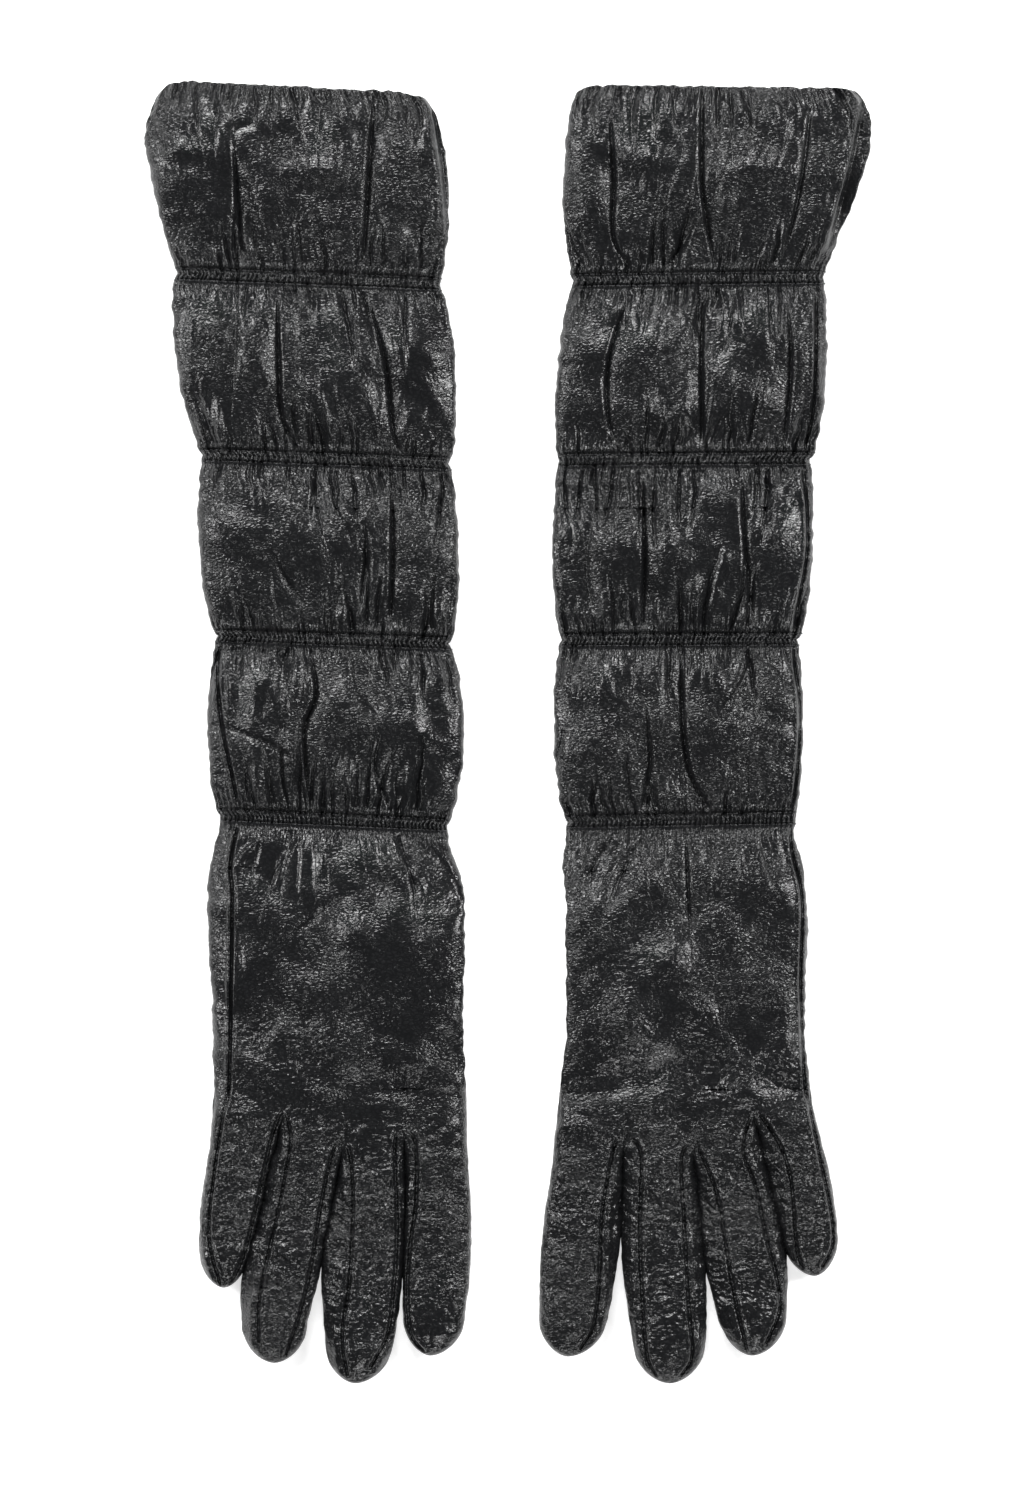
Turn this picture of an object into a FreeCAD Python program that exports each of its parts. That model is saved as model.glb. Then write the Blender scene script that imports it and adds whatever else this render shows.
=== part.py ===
"""A pair of long leather opera gloves, lying flat, palms down and thumbs tucked under the palms.

Each glove is a folded leather trank (gauntlet, hand and the front and back of every finger),
fourchettes between the fingers, a thumb, elastic tapes that gather the gauntlet into four puffs,
the two rows of thread that hold each tape, and an elastic in the turned hem.
Frame: millimetres, +X to the wearer's left, +Y towards the cuffs, +Z up from the table,
origin on the table under the middle of the pair.
"""

import FreeCAD
import Part

import math
import os

import Sketcher

V = FreeCAD.Vector
RADIAL = FreeCAD.Rotation(V(1, 0, 0), 90)  # turns a section from the XY plane to the XZ plane

# Driving dimensions shared by both gloves.
COMMON = {
    "leather": 0.9,
    "running_gap": 0.8,
    "tape_thick": 0.8,
    "tape_gap": 0.05,
    "tape_short": 0.6,
    "hem_tape_long": 7.0,
    "thread_wide": 0.5,
    "thread_thick": 0.35,
    "thread_pitch": 3.4,
    "band_long": 6.0,
    "band_high": 9.5,
    "band_lift": 0.5,
    "puff_high": 16.0,
    "shoulder_high": 14.0,
    "row_pitch": 61.8,
    "wrist_row": -29.1,
    "hem_top": 222.2,
    "hem_long": 10.0,
    "hem_high": 11.0,
    "palm_high": 11.0,
    "palm_tilt": 5.0,
    "knuckle_high": 12.0,
    "knuckle_lift": 2.0,
    "knuckle_line": -122.5,
    "finger_high": 12.0,
    "finger_drop": 3.6,
    "root_gap": 1.0,
    "slat_half": 6.5,
    "thumb_high": 7.0,
    "thumb_lift": 0.2,
    "thumb_wide": 23.0,
    "thumb_long": 57.0,
    "thumb_heel": 14.0,
    "thumb_root_y": -62.0,
    "thumb_hole": 8.5,
    "thumb_mouth": 8.0,
    "recess_high": 7.9,
    "recess_stop": 1.2,
}

# Dimensions of each glove. A row, a puff, the hem and the hand each have a centre and a width.
GLOVES = {
    "right": {
        "hem_x": -74.0, "hem_wide": 93.0,
        "row_1_x": -68.4, "row_1_wide": 90.0, "puff_1_x": -72.0, "puff_1_wide": 103.5,
        "row_2_x": -62.1, "row_2_wide": 84.0, "puff_2_x": -65.1, "puff_2_wide": 94.5,
        "row_3_x": -59.9, "row_3_wide": 78.5, "puff_3_x": -61.0, "puff_3_wide": 89.0,
        "row_4_x": -59.9, "row_4_wide": 78.5, "puff_4_x": -58.8, "puff_4_wide": 88.0,
        "palm_x": -58.7, "palm_wide": 86.5, "knuckle_x": -57.6, "knuckle_wide": 86.5,
        "thumb_root_x": -33.0, "thumb_tip_x": -39.0,
    },
    "left": {
        "hem_x": 71.6, "hem_wide": 95.0,
        "row_1_x": 65.3, "row_1_wide": 85.5, "puff_1_x": 71.4, "puff_1_wide": 104.8,
        "row_2_x": 60.7, "row_2_wide": 85.5, "puff_2_x": 62.8, "puff_2_wide": 92.0,
        "row_3_x": 58.7, "row_3_wide": 80.5, "puff_3_x": 59.7, "puff_3_wide": 89.0,
        "row_4_x": 59.3, "row_4_wide": 78.0, "puff_4_x": 58.5, "puff_4_wide": 85.5,
        "palm_x": 61.0, "palm_wide": 83.5, "knuckle_x": 60.6, "knuckle_wide": 86.5,
        "thumb_root_x": 35.5, "thumb_tip_x": 41.5,
    },
}

# Each finger: root centre, tip centre, tip's reach, width at the root and at its widest.
FINGERS = {
    "right_pinky": {"root_x": -89.1, "tip_x": -98.7, "tip_y": -189.1, "root_wide": 22.0, "wide": 20.0},
    "right_ring": {"root_x": -66.5, "tip_x": -80.5, "tip_y": -215.4, "root_wide": 19.6, "wide": 22.0},
    "right_middle": {"root_x": -46.0, "tip_x": -52.2, "tip_y": -222.2, "root_wide": 19.8, "wide": 23.4},
    "right_index": {"root_x": -24.8, "tip_x": -26.2, "tip_y": -212.7, "root_wide": 20.6, "wide": 21.0},
    "left_index": {"root_x": 28.2, "tip_x": 20.0, "tip_y": -212.7, "root_wide": 21.0, "wide": 26.5},
    "left_middle": {"root_x": 51.5, "tip_x": 55.9, "tip_y": -222.2, "root_wide": 22.0, "wide": 25.5},
    "left_ring": {"root_x": 73.7, "tip_x": 85.0, "tip_y": -212.7, "root_wide": 20.0, "wide": 23.0},
    "left_pinky": {"root_x": 93.6, "tip_x": 105.2, "tip_y": -185.4, "root_wide": 18.4, "wide": 19.0},
}

ROWS = (1, 2, 3, 4)
# Share of a puff's length, of the way to its full width, and whether its height is the full one.
PUFF_STATIONS = ((0.16, 0.55, "shoulder_high"), (0.5, 1.0, "puff_high"), (0.84, 0.55, "shoulder_high"))
# Share of a finger's length, then of its width there and its height. The root has a width of its own.
FINGER_STATIONS = (
    (0.0, 1.0, 1.0), (0.35, 1.0, 1.0), (0.6, 0.97, 0.96),
    (0.82, 0.82, 0.83), (0.94, 0.55, 0.58), (1.0, 0.2, 0.25),
)
THUMB_STATIONS = (
    (0.0, 0.55, 0.6), (0.14, 0.95, 1.0), (0.45, 1.0, 1.0),
    (0.75, 0.88, 0.97), (0.93, 0.55, 0.7), (1.0, 0.2, 0.3),
)
# How far below its start the hand's leather has a section, and its share of the palm's tilt there.
HAND_STATIONS = ((18, 0.5), (42, 1.0), (66, 1.0))
HOLLOW_START = 8.0  # from the palm's middle, away from the index side, to the edge of the hollow over the thumb
FAR = 60.0  # how far a cutting box reaches past everything it meets
PAST = 1.0  # how far a cutting shape runs past the face that it opens
NUDGE = 0.5  # the same where the next face is close


def fill_sheet(doc):
    """The spreadsheet of driving dimensions, one alias a row."""
    sheet = doc.addObject("Spreadsheet::Sheet", "sizes")
    values = dict(COMMON)
    for group in (GLOVES, FINGERS):
        for owner, own in group.items():
            values.update({f"{owner}_{name}": value for name, value in own.items()})
    for row, (name, value) in enumerate(values.items(), start=1):
        sheet.set(f"A{row}", name)
        sheet.set(f"B{row}", str(value))
        sheet.setAlias(f"B{row}", name)
    doc.recompute()
    return sheet


def cell(name):
    """A spreadsheet value, as an expression reads it."""
    return f"sizes.{name}"


class Builder:
    """Makes the document's objects, and keeps the finished sub-parts in order."""

    def __init__(self):
        self.doc = FreeCAD.newDocument("opera_gloves")
        self.sheet = fill_sheet(self.doc)
        self.parts = []

    def value(self, name):
        return float(self.sheet.get(name))

    def place(self, thing, x, y, z, tilt=0.0):
        """Stands a section in the XZ plane, with its centre bound to three expressions."""
        turn = FreeCAD.Rotation(V(0, 1, 0), tilt).multiply(RADIAL)
        thing.Placement = FreeCAD.Placement(V(), turn)
        thing.setExpression(".Placement.Base.x", x)
        thing.setExpression(".Placement.Base.y", y)
        thing.setExpression(".Placement.Base.z", z)

    def stadium(self, name, wide, high, x, y, z, tilt=0.0):
        """A flattened tube's section: two straight sides joined by two half circles."""
        sketch = self.doc.addObject("Sketcher::SketchObject", name)
        reach, radius = 20.0, 5.0  # a start for the sketch, before its constraints size it
        quarter = math.pi / 2
        sketch.addGeometry(Part.LineSegment(V(-reach, radius, 0), V(reach, radius, 0)), False)
        circle = Part.Circle(V(reach, 0, 0), V(0, 0, 1), radius)
        sketch.addGeometry(Part.ArcOfCircle(circle, -quarter, quarter), False)
        sketch.addGeometry(Part.LineSegment(V(reach, -radius, 0), V(-reach, -radius, 0)), False)
        circle = Part.Circle(V(-reach, 0, 0), V(0, 0, 1), radius)
        sketch.addGeometry(Part.ArcOfCircle(circle, quarter, 3 * quarter), False)
        for ends in ((0, 2, 1, 2), (2, 1, 1, 1), (2, 2, 3, 2), (0, 1, 3, 1)):
            sketch.addConstraint(Sketcher.Constraint("Tangent", *ends))
        sketch.addConstraint(Sketcher.Constraint("Equal", 1, 3))
        sketch.addConstraint(Sketcher.Constraint("Symmetric", 1, 3, 3, 3, -1, 1))
        sketch.addConstraint(Sketcher.Constraint("PointOnObject", 1, 3, -1))
        radius_at = sketch.addConstraint(Sketcher.Constraint("Radius", 1, radius))
        reach_at = sketch.addConstraint(Sketcher.Constraint("DistanceX", 3, 3, 1, 3, 2 * reach))
        sketch.setExpression(f"Constraints[{radius_at}]", f"({high}) / 2")
        sketch.setExpression(f"Constraints[{reach_at}]", f"({wide}) - ({high})")
        self.place(sketch, x, y, z, tilt)
        return sketch

    def ellipse(self, name, wide, high, x, y, z):
        """The section of a finger or a thumb."""
        made = self.doc.addObject("Part::Ellipse", name)
        made.setExpression("MajorRadius", f"({wide}) / 2")
        made.setExpression("MinorRadius", f"({high}) / 2")
        self.place(made, x, y, z)
        return made

    def loft(self, name, sections):
        made = self.doc.addObject("Part::Loft", name)
        made.Sections = sections
        made.Solid = True
        made.Ruled = False
        return made

    def extrude(self, name, section, length):
        """Runs a section along +Y."""
        made = self.doc.addObject("Part::Extrusion", name)
        made.Base = section
        made.DirMode = "Custom"
        made.Dir = V(0, 1, 0)
        made.setExpression("LengthFwd", length)
        made.Solid = True
        return made

    def cut(self, name, base, tool):
        made = self.doc.addObject("Part::Cut", name)
        made.Base, made.Tool = base, tool
        return made

    def common(self, name, base, tool):
        made = self.doc.addObject("Part::Common", name)
        made.Base, made.Tool = base, tool
        return made

    def fuse(self, name, shapes):
        made = self.doc.addObject("Part::MultiFuse", name)
        made.Shapes = shapes
        return made

    def box(self, name, low, high, frame=FreeCAD.Placement()):
        """A box between two corners, which are given in a frame of their own."""
        made = self.doc.addObject("Part::Box", name)
        made.Length, made.Width, made.Height = (b - a for a, b in zip(low, high))
        made.Placement = frame.multiply(FreeCAD.Placement(V(*low), FreeCAD.Rotation()))
        return made

    def finish(self, made, label, placement=FreeCAD.Placement()):
        """Marks an object as a sub-part, under its label."""
        made.Label = label
        made.Placement = placement
        self.parts.append(made)


def row_y(row):
    """The middle of an elastic row, counted from the hem down."""
    return f"{cell('wrist_row')} + {len(ROWS) - row} * {cell('row_pitch')}"


def band_centre():
    return f"{cell('band_lift')} + {cell('band_high')} / 2"


def row_section(b, glove, row, name, grow, y):
    """The section of the leather band on a row, grown or shrunk all round."""
    side = f"{glove}_row_{row}"
    wide = f"{cell(side + '_wide')} + 2 * ({grow})"
    high = f"{cell('band_high')} + 2 * ({grow})"
    return b.stadium(f"{side}_{name}", wide, high, cell(side + "_x"), y, band_centre())


def ring(b, name, outer, inner, length):
    """A closed band: one extruded section less another."""
    return b.cut(name, b.extrude(name + "_out", outer, length), b.extrude(name + "_in", inner, length))


def tube_pair(b, stem, stations, start_reach, end_reach):
    """Outer and inner lofts through (wide, high, x, y, z, tilt) stations. The inner one may run past its ends."""
    outer, inner = [], []
    for number, (wide, high, x, y, z, tilt) in enumerate(stations):
        past = ""
        if number == 0:
            past = f" + {start_reach}"
        if number == len(stations) - 1:
            past = f" + {end_reach}"
        thin = f"2 * {cell('leather')}"
        room = (f"{wide} - {thin}", f"{high} - {thin}", x, y + past, z, tilt)
        outer.append(b.stadium(f"{stem}_o{number}", wide, high, x, y, z, tilt))
        inner.append(b.stadium(f"{stem}_i{number}", *room))
    return b.loft(stem + "_outer", outer), b.loft(stem + "_inner", inner)


def puff(b, glove, row):
    """The leather of one puff with the gathered band below it. The first puff also carries the hem."""
    side = f"{glove}_row_{row}"
    start = f"{row_y(row)} + {cell('band_long')} / 2"
    if row == 1:
        end = f"{cell('hem_top')} - {cell('hem_long')}"
        above = f"{glove}_hem"
        end_high, end_z = cell("hem_high"), f"{cell('hem_high')} / 2"
    else:
        end = f"{row_y(row - 1)} - {cell('band_long')} / 2 - {cell('running_gap')}"
        above = f"{glove}_row_{row - 1}"
        end_high, end_z = cell("band_high"), band_centre()
    full = f"{glove}_puff_{row}"
    stations = [(cell(side + "_wide"), cell("band_high"), cell(side + "_x"), start, band_centre(), 0.0)]
    for share, fullness, high in PUFF_STATIONS:
        near = side if share < 0.5 else above
        wide = f"{cell(near + '_wide')} * {1 - fullness} + {cell(full + '_wide')} * {fullness}"
        x = f"{cell(near + '_x')} * {1 - fullness} + {cell(full + '_x')} * {fullness}"
        y = f"({start}) * {1 - share} + ({end}) * {share}"
        stations.append((wide, cell(high), x, y, f"{cell(high)} / 2", 0.0))
    stations.append((cell(above + "_wide"), end_high, cell(above + "_x"), end, end_z, 0.0))
    outer, inner = tube_pair(b, full, stations, 0, NUDGE)
    low = f"{row_y(row)} - {cell('band_long')} / 2"
    band = row_section(b, glove, row, "band", "0", low)
    hole = row_section(b, glove, row, "hole", f"0 - {cell('leather')}", f"{low} - {PAST}")
    outers = [b.extrude(f"{side}_band_out", band, cell("band_long")), outer]
    inners = [b.extrude(f"{side}_band_in", hole, f"{cell('band_long')} + {PAST}"), inner]
    if row == 1:
        hem_outer, hem_inner = hem_prisms(b, glove)
        outers.append(hem_outer)
        inners.append(hem_inner)
    shell = b.cut(full, b.fuse(full + "_outs", outers), b.fuse(full + "_ins", inners))
    if row == 1:
        shell = b.cut(full + "_cased", shell, hem_casing(b, glove))
    b.finish(shell, f"{full}_leather")


def hem_section(b, glove, name, inset, y):
    """The hem's section, shrunk by inset all round."""
    wide = f"{cell(glove + '_hem_wide')} - 2 * ({inset})"
    high = f"{cell('hem_high')} - 2 * ({inset})"
    return b.stadium(f"{glove}_hem_{name}", wide, high, cell(glove + "_hem_x"), y, f"{cell('hem_high')} / 2")


def casing_inset():
    """How far in the turned hem's inner face lies: two leathers, the elastic and its room."""
    return f"2 * {cell('leather')} + {cell('tape_thick')} + 4 * {cell('tape_gap')}"


def hem_prisms(b, glove):
    """The turned hem: a straight band, with its mouth."""
    low = f"{cell('hem_top')} - {cell('hem_long')}"
    outer = hem_section(b, glove, "rim", "0", low)
    mouth = hem_section(b, glove, "mouth", casing_inset(), f"{low} - 2 * {PAST}")
    return (
        b.extrude(f"{glove}_hem_out", outer, cell("hem_long")),
        b.extrude(f"{glove}_hem_in", mouth, f"{cell('hem_long')} + 4 * {PAST}"),
    )


def hem_casing(b, glove):
    """The pocket between the leather and its turned edge, open inwards, that holds the hem's elastic."""
    low = f"{cell('hem_top')} - {cell('hem_long')} - {PAST}"
    outer = hem_section(b, glove, "pocket_out", cell("leather"), low)
    inner = hem_section(b, glove, "pocket_in", f"{casing_inset()} - {cell('leather')}", low)
    return ring(b, f"{glove}_hem_pocket", outer, inner, f"{cell('hem_long')} + {PAST} - {cell('leather')}")


def elastics(b, glove):
    """The tape inside each row, and the one inside the hem."""
    gap, thick = cell("tape_gap"), cell("tape_thick")
    long = f"{cell('band_long')} - {cell('tape_short')}"
    for row in ROWS:
        low = f"{row_y(row)} - ({long}) / 2"
        outer = row_section(b, glove, row, "tape_out", f"0 - {cell('leather')} - {gap}", low)
        inner = row_section(b, glove, row, "tape_in", f"0 - {cell('leather')} - {gap} - {thick}", low)
        b.finish(ring(b, f"{glove}_tape_{row}", outer, inner, long), f"{glove}_row_{row}_elastic")
    low = f"{cell('hem_top')} - {cell('hem_long')} + {PAST}"
    outer = hem_section(b, glove, "tape_out", f"{cell('leather')} + {gap}", low)
    inner = hem_section(b, glove, "tape_in", f"{cell('leather')} + {gap} + {thick}", low)
    tape = ring(b, f"{glove}_hem_tape", outer, inner, cell("hem_tape_long"))
    b.finish(tape, f"{glove}_hem_elastic")


def stitching(b, glove):
    """The two rows of thread round each gathered band."""
    gap, thick = cell("tape_gap"), cell("thread_thick")
    for row in ROWS:
        rings = []
        for side in (-1, 1):
            low = f"{row_y(row)} + {side} * {cell('thread_pitch')} / 2 - {cell('thread_wide')} / 2"
            word = "upper" if side > 0 else "lower"
            outer = row_section(b, glove, row, word + "_thread_out", f"{gap} + {thick}", low)
            inner = row_section(b, glove, row, word + "_thread_in", gap, low)
            rings.append(ring(b, f"{glove}_{word}_thread_{row}", outer, inner, cell("thread_wide")))
        pair = b.doc.addObject("Part::Compound", f"{glove}_threads_{row}")
        pair.Links = rings
        b.finish(pair, f"{glove}_row_{row}_stitching")


def hand(b, glove):
    """The leather round the hand: a flat tube from the wrist row to the knuckles, raised over the thumb."""
    up = -1 if glove == "right" else 1  # a turn about +Y that lifts the index side
    tilt = up * b.value("palm_tilt")
    start = f"{row_y(4)} - {cell('band_long')} / 2 - {cell('running_gap')}"
    wrist = f"{glove}_row_4"
    palm, knuckle = f"{glove}_palm", f"{glove}_knuckle"
    stations = [(cell(wrist + "_wide"), cell("band_high"), cell(wrist + "_x"), start, band_centre(), 0.0)]
    for down, share in HAND_STATIONS:
        z = f"{cell('palm_high')} / 2 + {cell(palm + '_wide')} / 2 * sin({cell('palm_tilt')} * {share})"
        full = (cell(palm + "_wide"), cell("palm_high"), cell(palm + "_x"))
        stations.append((*full, f"{start} - {down}", z, tilt * share))
    knuckle_z = f"{cell('knuckle_lift')} + {cell('knuckle_high')} / 2"
    end = (cell(knuckle + "_wide"), cell("knuckle_high"), cell(knuckle + "_x"), cell("knuckle_line"))
    stations.append((*end, knuckle_z, 0.0))
    outer, inner = tube_pair(b, f"{glove}_hand", stations, NUDGE, -NUDGE)
    inside = b.value(palm + "_x") - up * HOLLOW_START
    outside = inside - up * FAR
    leather, top = b.value("leather"), b.value("recess_high")
    low_y = b.value("knuckle_line") + b.value("recess_stop")
    high_y = b.value("thumb_root_y") + b.value("thumb_heel") + 2 * PAST

    def hollow(name, grow):
        edges = sorted((inside + up * grow, outside))
        return b.box(name, (edges[0], low_y - grow, -FAR), (edges[1], high_y + grow, top + grow))

    shell = b.cut(
        f"{glove}_hand_shell",
        b.cut(f"{glove}_hand_over", outer, hollow(f"{glove}_hollow", 0.0)),
        b.cut(f"{glove}_hand_room", inner, hollow(f"{glove}_hollow_wall", leather)),
    )
    hole = b.doc.addObject("Part::Cylinder", f"{glove}_thumb_hole")
    hole.setExpression("Radius", cell("thumb_hole"))
    hole.Height = leather + 2 * PAST
    hole.Placement.Base = V(b.value(f"{glove}_thumb_root_x"), b.value("thumb_root_y"), top - PAST)
    b.finish(b.cut(f"{glove}_hand", shell, hole), f"{glove}_hand_leather")


def thumb(b, glove):
    """The thumb, one folded piece, open upwards where it is sewn to the palm's hole."""
    leather, stem = cell("leather"), f"{glove}_thumb"
    long = f"({cell('thumb_long')} + {cell('thumb_heel')})"
    outer, inner = [], []
    for number, (share, wide, high) in enumerate(THUMB_STATIONS):
        w, h = f"{cell('thumb_wide')} * {wide}", f"{cell('thumb_high')} * {high}"
        y = f"{cell('thumb_heel')} - {long} * {share}"
        outer.append(b.ellipse(f"{stem}_o{number}", w, h, "0", y, "0"))
        y = f"{cell('thumb_heel')} - {leather} - ({long} - 2 * {leather}) * {share}"
        thin = f"2 * {leather}" if 0 < share < 1 else leather
        inner.append(b.ellipse(f"{stem}_i{number}", f"{w} - {thin}", f"{h} - {thin}", "0", y, "0"))
    shell = b.cut(stem + "_shell", b.loft(stem + "_outer", outer), b.loft(stem + "_inner", inner))
    hole = b.doc.addObject("Part::Cylinder", stem + "_mouth")
    hole.setExpression("Radius", cell("thumb_mouth"))
    hole.Height = b.value("thumb_high")
    middle = b.value("thumb_lift") + b.value("thumb_high") / 2
    root = V(b.value(stem + "_root_x"), b.value("thumb_root_y"), middle)
    lean = b.value(stem + "_tip_x") - root.x
    aim = FreeCAD.Rotation(V(0, -1, 0), V(lean, -b.value("thumb_long"), 0))
    b.finish(b.cut(stem, shell, hole), stem + "_leather", FreeCAD.Placement(root, aim))


def finger_shell(b, name):
    """A finger's hollow leather. Its sections stand parallel to the knuckle line, so its root lies flush."""
    leather, high = cell("leather"), cell("finger_high")
    root_y = f"({cell('knuckle_line')} - {cell('root_gap')})"
    root_z = f"({cell('knuckle_lift')} + {cell('knuckle_high')} / 2)"

    def section(kind, number, wide, tall, share, past):
        x = f"{cell(name + '_root_x')} * (1 - {share}) + {cell(name + '_tip_x')} * {share}"
        y = f"{root_y} * (1 - {share}) + {cell(name + '_tip_y')} * {share} + {past}"
        z = f"{root_z} - {cell('finger_drop')} * {share}"
        return b.ellipse(f"{name}_{kind}{number}", wide, tall, x, y, z)

    outer, inner = [], []
    for number, (share, wide, tall) in enumerate(FINGER_STATIONS):
        width = cell(name + ("_root_wide" if number == 0 else "_wide"))
        w, t = f"{width} * {wide}", f"{high} * {tall}"
        thin = leather if share == 1 else f"2 * {leather}"
        past = {0.0: PAST, 1.0: leather}.get(share, 0)
        outer.append(section("o", number, w, t, share, 0))
        inner.append(section("i", number, f"{w} - {thin}", f"{t} - {thin}", share, past))
    return b.cut(name + "_shell", b.loft(name + "_outer", outer), b.loft(name + "_inner", inner))


def finger_line(b, name):
    """The frame of a finger's middle line: its origin at the root and -Y towards the tip."""
    root = V(
        b.value(name + "_root_x"),
        b.value("knuckle_line") - b.value("root_gap"),
        b.value("knuckle_lift") + b.value("knuckle_high") / 2,
    )
    tip = V(b.value(name + "_tip_x"), b.value(name + "_tip_y"), root.z - b.value("finger_drop"))
    flat = V(tip.x - root.x, tip.y - root.y, 0)
    yaw = FreeCAD.Rotation(V(0, -1, 0), flat)
    pitch = FreeCAD.Rotation(V(0, -1, 0), V(0, -flat.Length, -b.value("finger_drop")))
    return FreeCAD.Placement(root, yaw.multiply(pitch))


def finger(b, name):
    """Cuts a finger's shell into the pieces it is sewn from."""
    glove, digit = name.split("_")
    shell, line = finger_shell(b, name), finger_line(b, name)
    half = b.value("slat_half")
    index_way = 1 if glove == "right" else -1  # the side of a finger that faces the index edge
    whole, back, palm = (-FAR, FAR), (0.0, FAR), (-FAR, 0.0)

    def beyond(way):
        """The strip across the finger that lies past the slat, on one side."""
        return (half, FAR) if way > 0 else (-FAR, -half)

    def up_to(way):
        """All across the finger but that strip."""
        return (-FAR, half) if way > 0 else (-half, FAR)

    if digit == "index":
        pieces = {"trank": (up_to(-index_way), whole), "fourchette": (beyond(-index_way), whole)}
    elif digit == "pinky":
        pieces = {
            "back": (up_to(index_way), back),
            "palm": (up_to(index_way), palm),
            "fourchette": (beyond(index_way), whole),
        }
    else:
        pieces = {
            "back": ((-half, half), back),
            "palm": ((-half, half), palm),
            "inner_fourchette": (beyond(index_way), whole),
            "outer_fourchette": (beyond(-index_way), whole),
        }
    for piece, (across, up) in pieces.items():
        stem = f"{name}_{piece}"
        cutter = b.box(stem + "_cutter", (across[0], -2 * FAR, up[0]), (across[1], FAR, up[1]), line)
        b.finish(b.common(stem, shell, cutter), stem)


def check(b):
    """Stops on any object that failed, or on a sub-part that isn't a sound solid."""
    for thing in b.doc.Objects:
        if "Invalid" in thing.State or "Error" in thing.State:
            raise RuntimeError(f"{thing.Name} failed to build")
    for part in b.parts:
        shape = part.Shape
        if shape.isNull() or not shape.isValid() or not shape.Solids:
            raise RuntimeError(f"{part.Label} isn't a valid solid")


def main():
    b = Builder()
    for glove in GLOVES:
        for row in ROWS:
            puff(b, glove, row)
        elastics(b, glove)
        stitching(b, glove)
        hand(b, glove)
        thumb(b, glove)
    for name in FINGERS:
        finger(b, name)
    b.doc.recompute()
    check(b)
    os.makedirs("parts", exist_ok=True)
    whole = FreeCAD.BoundBox()
    for part in b.parts:
        part.Shape.exportStep(f"parts/{part.Label}.step")
        whole.add(part.Shape.BoundBox)
        print(f"{part.Label}: {part.Shape.Volume:.0f} mm3, {len(part.Shape.Solids)} solid(s)")
    print(f"{len(b.parts)} sub-parts, {whole}")
    return b


main()
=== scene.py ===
"""A pair of long black leather gloves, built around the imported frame. Lengths here are millimetres until a mesh is made.

Each glove is a flattened leather tube, from the gathered hem through four puffs to the knuckles, four fingers and a
thumb. A tube is made of rings: a top side that carries the folds, puckers and seams, and a plainer underside.
"""

import math

import bpy
import numpy as np
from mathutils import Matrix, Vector


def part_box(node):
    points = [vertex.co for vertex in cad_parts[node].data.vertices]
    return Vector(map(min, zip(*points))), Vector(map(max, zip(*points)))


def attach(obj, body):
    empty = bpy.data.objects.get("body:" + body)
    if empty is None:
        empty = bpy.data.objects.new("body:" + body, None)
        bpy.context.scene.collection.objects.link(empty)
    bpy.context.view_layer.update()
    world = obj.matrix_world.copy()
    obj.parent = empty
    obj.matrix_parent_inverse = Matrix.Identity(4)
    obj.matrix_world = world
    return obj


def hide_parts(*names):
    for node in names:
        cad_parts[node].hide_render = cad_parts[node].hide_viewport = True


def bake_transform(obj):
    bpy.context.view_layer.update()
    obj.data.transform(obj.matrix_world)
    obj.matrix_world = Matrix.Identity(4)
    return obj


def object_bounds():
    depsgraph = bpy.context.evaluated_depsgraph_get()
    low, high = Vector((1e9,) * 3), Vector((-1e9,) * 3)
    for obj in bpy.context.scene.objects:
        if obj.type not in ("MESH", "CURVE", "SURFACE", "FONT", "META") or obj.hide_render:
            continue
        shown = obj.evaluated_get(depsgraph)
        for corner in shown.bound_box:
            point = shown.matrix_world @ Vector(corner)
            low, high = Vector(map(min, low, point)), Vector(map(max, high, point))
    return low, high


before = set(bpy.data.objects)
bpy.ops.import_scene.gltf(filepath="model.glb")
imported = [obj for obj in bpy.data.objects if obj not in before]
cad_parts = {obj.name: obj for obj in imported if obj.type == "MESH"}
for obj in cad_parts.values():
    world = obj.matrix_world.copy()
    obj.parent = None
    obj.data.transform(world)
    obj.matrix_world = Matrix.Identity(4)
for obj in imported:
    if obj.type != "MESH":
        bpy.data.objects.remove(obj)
cad_low, cad_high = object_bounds()

MM = 0.001
FINGERS = ("pinky", "ring", "middle", "index")
STITCH_APART = 2.0  # from the middle of a gathered row to each of its two rows of thread
GATHER_PITCH = 1.55  # from one pucker of a gathered row to the next
LEATHER = 0.9

# ---------------------------------------------------------------------------------------------------------------
# The two gloves. Outlines, seams and folds are (y, x) or (x, y) points in the row frame.

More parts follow.
